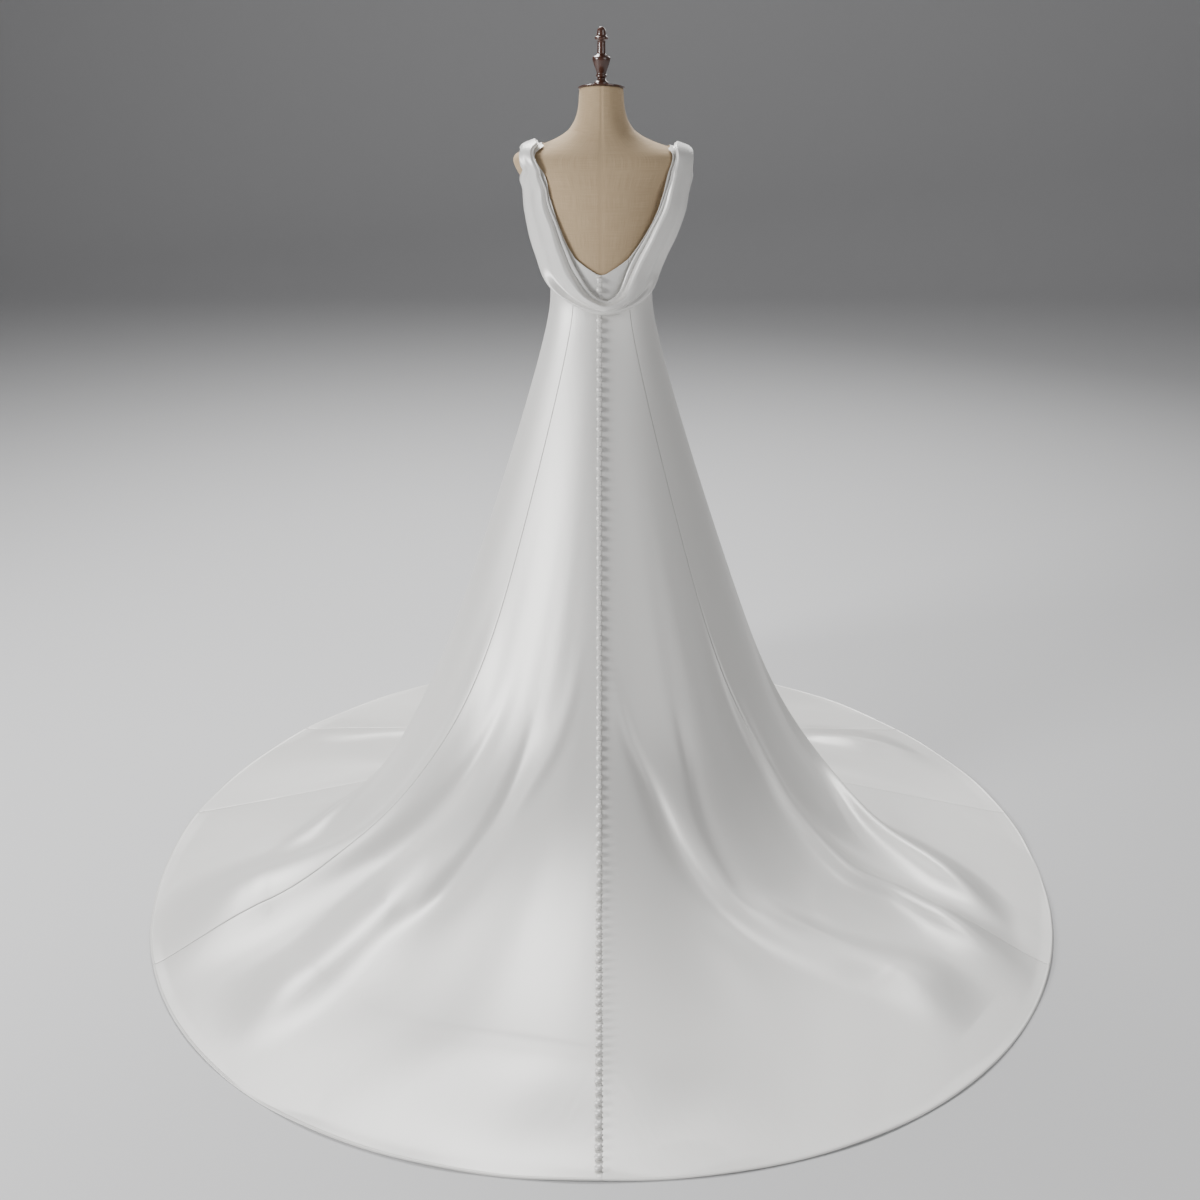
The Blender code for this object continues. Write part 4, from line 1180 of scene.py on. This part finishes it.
def repeated_tubes(rings):
    """Points and faces of many tubes of the same shape, from an array of tubes, rings and sides."""
    count, steps, sides = rings.shape[:3]
    one = closed_tube(rings[0], sides)
    faces = [[corner + k * steps * sides for corner in face] for k in range(count) for face in one]
    return rings.reshape(-1, 3), faces


def placket_rings(run, edge, along, across, outward):
    """The strip: its section at each row, rising between the buttons where the cloth puckers."""
    section = np.array(PLACKET_SECTION)
    pucker = PLACKET_PUCKER * np.cos(2 * np.pi * (run - BUTTON_FIRST) / BUTTON_PITCH)
    rise = SEAM_GAP + section[:, 1] * PLACKET_THICKNESS - np.outer(pucker, section[:, 1])
    lines = edge[:, None] + across[:, None] * section[:, :1] * PLACKET_WIDTH
    return lines + outward[:, None] * rise[..., None]


def button_rings(line, places, changes):
    """Domes turned round their own axes, which tilt a little, and more where the train lies flat."""
    run, edge, along, across, outward = line
    centre = read_line(run, edge, places) + read_line(run, across, places) * PLACKET_WIDTH / 2
    down = read_line(run, along, places)
    left = read_line(run, across, places)
    lean = BUTTON_TILT * changes[:, 1:2] + TRAIN_TILT * ramp(places / run[-1], 0.45, 0.8)[:, None]
    axis = unit(read_line(run, outward, places) + left * lean + down * BUTTON_TILT * changes[:, 2:3])
    first = unit(left - axis * np.sum(left * axis, axis=-1, keepdims=True))
    second = np.cross(axis, first)
    turn = np.arange(BUTTON_SIDES) * 2 * np.pi / BUTTON_SIDES
    profile = np.array(BUTTON_PROFILE)
    spokes = first[:, None] * np.cos(turn)[:, None] + second[:, None] * np.sin(turn)[:, None]
    outline = spokes[:, None] * (profile[:, 0] * BUTTON_RADIUS)[:, None, None]
    return centre[:, None, None] + outline + axis[:, None, None] * profile[:, 1][:, None, None]


def loop_rings(line, places):
    """Cord loops: half an ellipse from the right edge round the foot of each button, as a round tube."""
    run, edge, along, across, outward = line
    centre, down = read_line(run, edge, places), unit(read_line(run, along, places))
    left, up = unit(read_line(run, across, places)), unit(read_line(run, outward, places))
    turn = np.linspace(-1.75, 1.75, LOOP_STEPS)
    round_tube = np.arange(LOOP_SIDES) * 2 * np.pi / LOOP_SIDES
    reach = LOOP_REACH + LOOP_RADIUS * np.cos(round_tube)
    width = LOOP_HALF_WIDTH + LOOP_RADIUS * np.cos(round_tube)
    a = (np.outer(np.cos(turn), reach) - 0.0008)[None, ..., None]
    b = np.outer(np.sin(turn), width)[None, ..., None]
    lift = np.interp(np.cos(turn), [-0.2, 0.3], [-0.0004, 0.0])
    h = (PLACKET_THICKNESS + 1.3 * LOOP_RADIUS + lift[:, None] + LOOP_RADIUS * np.sin(round_tube))[None, ..., None]
    return centre[:, None, None] + left[:, None, None] * a + down[:, None, None] * b + up[:, None, None] * h


def make_buttons():
    line = opening_line()
    places, changes = button_places(line[0])
    strip = placket_rings(*line)
    points, faces = repeated_tubes(button_rings(line, places, changes))
    strip_faces = closed_tube(strip, len(PLACKET_SECTION))
    shifted = [[corner + len(points) for corner in face] for face in strip_faces]
    points = np.concatenate([points, strip.reshape(-1, 3)])
    stand = mesh_object("button_stand", points, faces + shifted, points[:, [0, 2]], satin)
    finish_piece(stand, "satin", "buttons_opening", "buttons_hip", "buttons_skirt", "buttons_train")
    points, faces = repeated_tubes(loop_rings(line, places))
    loops = mesh_object("button_loops", points, faces, points[:, [0, 2]], satin)
    finish_piece(loops, "satin")
    print(len(places), "buttons and loops")


make_buttons()

# %% [markdown]
# ## Neck cap, finial and stand
#
# The cap and the finial are turned on a lathe: a profile of radii and heights is carried round the
# pole's axis.

# %% Turned wood
CAP_RADIUS = 0.0500
CAP_HEIGHT = 0.0110
CAP_COLUMNS = ("radius", "height", "tilt")
CAP_PROFILE = (
    (0.00, 0.00, 1.00),
    (0.90, 0.00, 1.00),
    (0.97, 0.05, 1.00),
    (1.00, 0.16, 1.00),
    (1.00, 0.31, 1.00),
    (0.97, 0.40, 0.95),
    (0.90, 0.47, 0.85),
    (0.80, 0.68, 0.65),
    (0.55, 0.88, 0.35),
    (0.36, 1.00, 0.00),
    (0.00, 1.02, 0.00),
)
STAND_GAP = 0.0003
FINIAL_HEIGHT = 0.113
FINIAL_PROFILE = (
    (0.0155, 0.000),
    (0.0155, 0.025),
    (0.0110, 0.060),
    (0.0085, 0.100),
    (0.0115, 0.130),
    (0.0118, 0.150),
    (0.0100, 0.180),
    (0.0115, 0.230),
    (0.0165, 0.350),
    (0.0192, 0.440),
    (0.0180, 0.480),
    (0.0110, 0.520),
    (0.0088, 0.560),
    (0.0085, 0.740),
    (0.0130, 0.780),
    (0.0140, 0.815),
    (0.0105, 0.850),
    (0.0095, 0.900),
    (0.0080, 0.960),
    (0.0045, 1.000),
)
LATHE_SIDES = 72
LATHE_ROWS = 110


def lathe(name, radius, height, tilt):
    """Turned piece: each radius times sine and cosine, its height lowered towards the back by the tilt."""
    turn = np.arange(LATHE_SIDES) * 2 * np.pi / LATHE_SIDES
    x = radius[:, None] * np.cos(turn)
    y = radius[:, None] * np.sin(turn)
    z = height[:, None] - y * tilt[:, None]
    grid = np.stack([x, y, z], axis=-1)
    mesh = bpy.data.meshes.new(name)
    mesh.from_pydata(grid.reshape(-1, 3).tolist(), [], closed_tube(grid, LATHE_SIDES))
    mesh.polygons.foreach_set("use_smooth", np.full(len(mesh.polygons), True))
    mesh.materials.append(dark_wood)
    piece = bpy.data.objects.new(name, mesh)
    bpy.context.scene.collection.objects.link(piece)
    return piece


def make_wood_pieces():
    rows = np.arange(len(CAP_PROFILE))
    at = np.linspace(0, len(CAP_PROFILE) - 1, LATHE_ROWS)
    radius, height, tilt = (smooth(rows, column(CAP_PROFILE, CAP_COLUMNS, name), at) for name in CAP_COLUMNS)
    foot = NECK_TOP + STAND_GAP
    cap = lathe("wooden_cap", np.maximum(radius, 0.01) * CAP_RADIUS, foot + height * CAP_HEIGHT,
                tilt * math.tan(NECK_TILT))
    finish_piece(cap, "dark_wood", "form_neck_cap")
    rows = np.arange(len(FINIAL_PROFILE))
    at = np.linspace(0, len(FINIAL_PROFILE) - 1, LATHE_ROWS)
    radius = smooth(rows, [row[0] for row in FINIAL_PROFILE], at)
    height = NECK_TOP + CAP_HEIGHT + 2 * STAND_GAP + smooth(rows, [row[1] for row in FINIAL_PROFILE], at) * FINIAL_HEIGHT
    finial = lathe("wooden_finial", radius, height, 0 * radius)
    finish_piece(finial, "dark_wood", "form_finial")
    print("cap and finial", LATHE_ROWS, "rows each")


make_wood_pieces()

for name in ("form_pole", "form_base"):
    nodes[name].data.materials.clear()
    nodes[name].data.materials.append(black_steel)

# %% [markdown]
# ## Floor
#
# A plain pale floor carries the dress and throws light back up into its folds. Far behind the dress it
# curves up into a wall, so no edge shows.

# %% Floor and backdrop
FLOOR_HALF = 14.0
FLOOR_END = 6.0
SWEEP_RADIUS = 3.0
WALL_TOP = 9.0
FLOOR_COLOUR = (0.66, 0.66, 0.665)


def make_floor():
    """Profile of the sweep: a straight floor, a quarter circle and a straight wall."""
    turn = np.linspace(0, np.pi / 2, 25)
    y = np.concatenate([[-FLOOR_HALF], FLOOR_END + SWEEP_RADIUS * np.sin(turn), [FLOOR_END + SWEEP_RADIUS]])
    z = np.concatenate([[0], SWEEP_RADIUS * (1 - np.cos(turn)), [WALL_TOP]])
    x = np.array([-FLOOR_HALF, FLOOR_HALF])
    points = np.stack(np.broadcast_arrays(x[None, :], y[:, None], z[:, None]), axis=-1)
    plain, shader = new_material("floor", FLOOR_COLOUR, 0.7)
    floor = mesh_object("floor", points, grid_faces(len(y), 2)[:, ::-1], None, plain)
    print("floor rows", len(y))


make_floor()
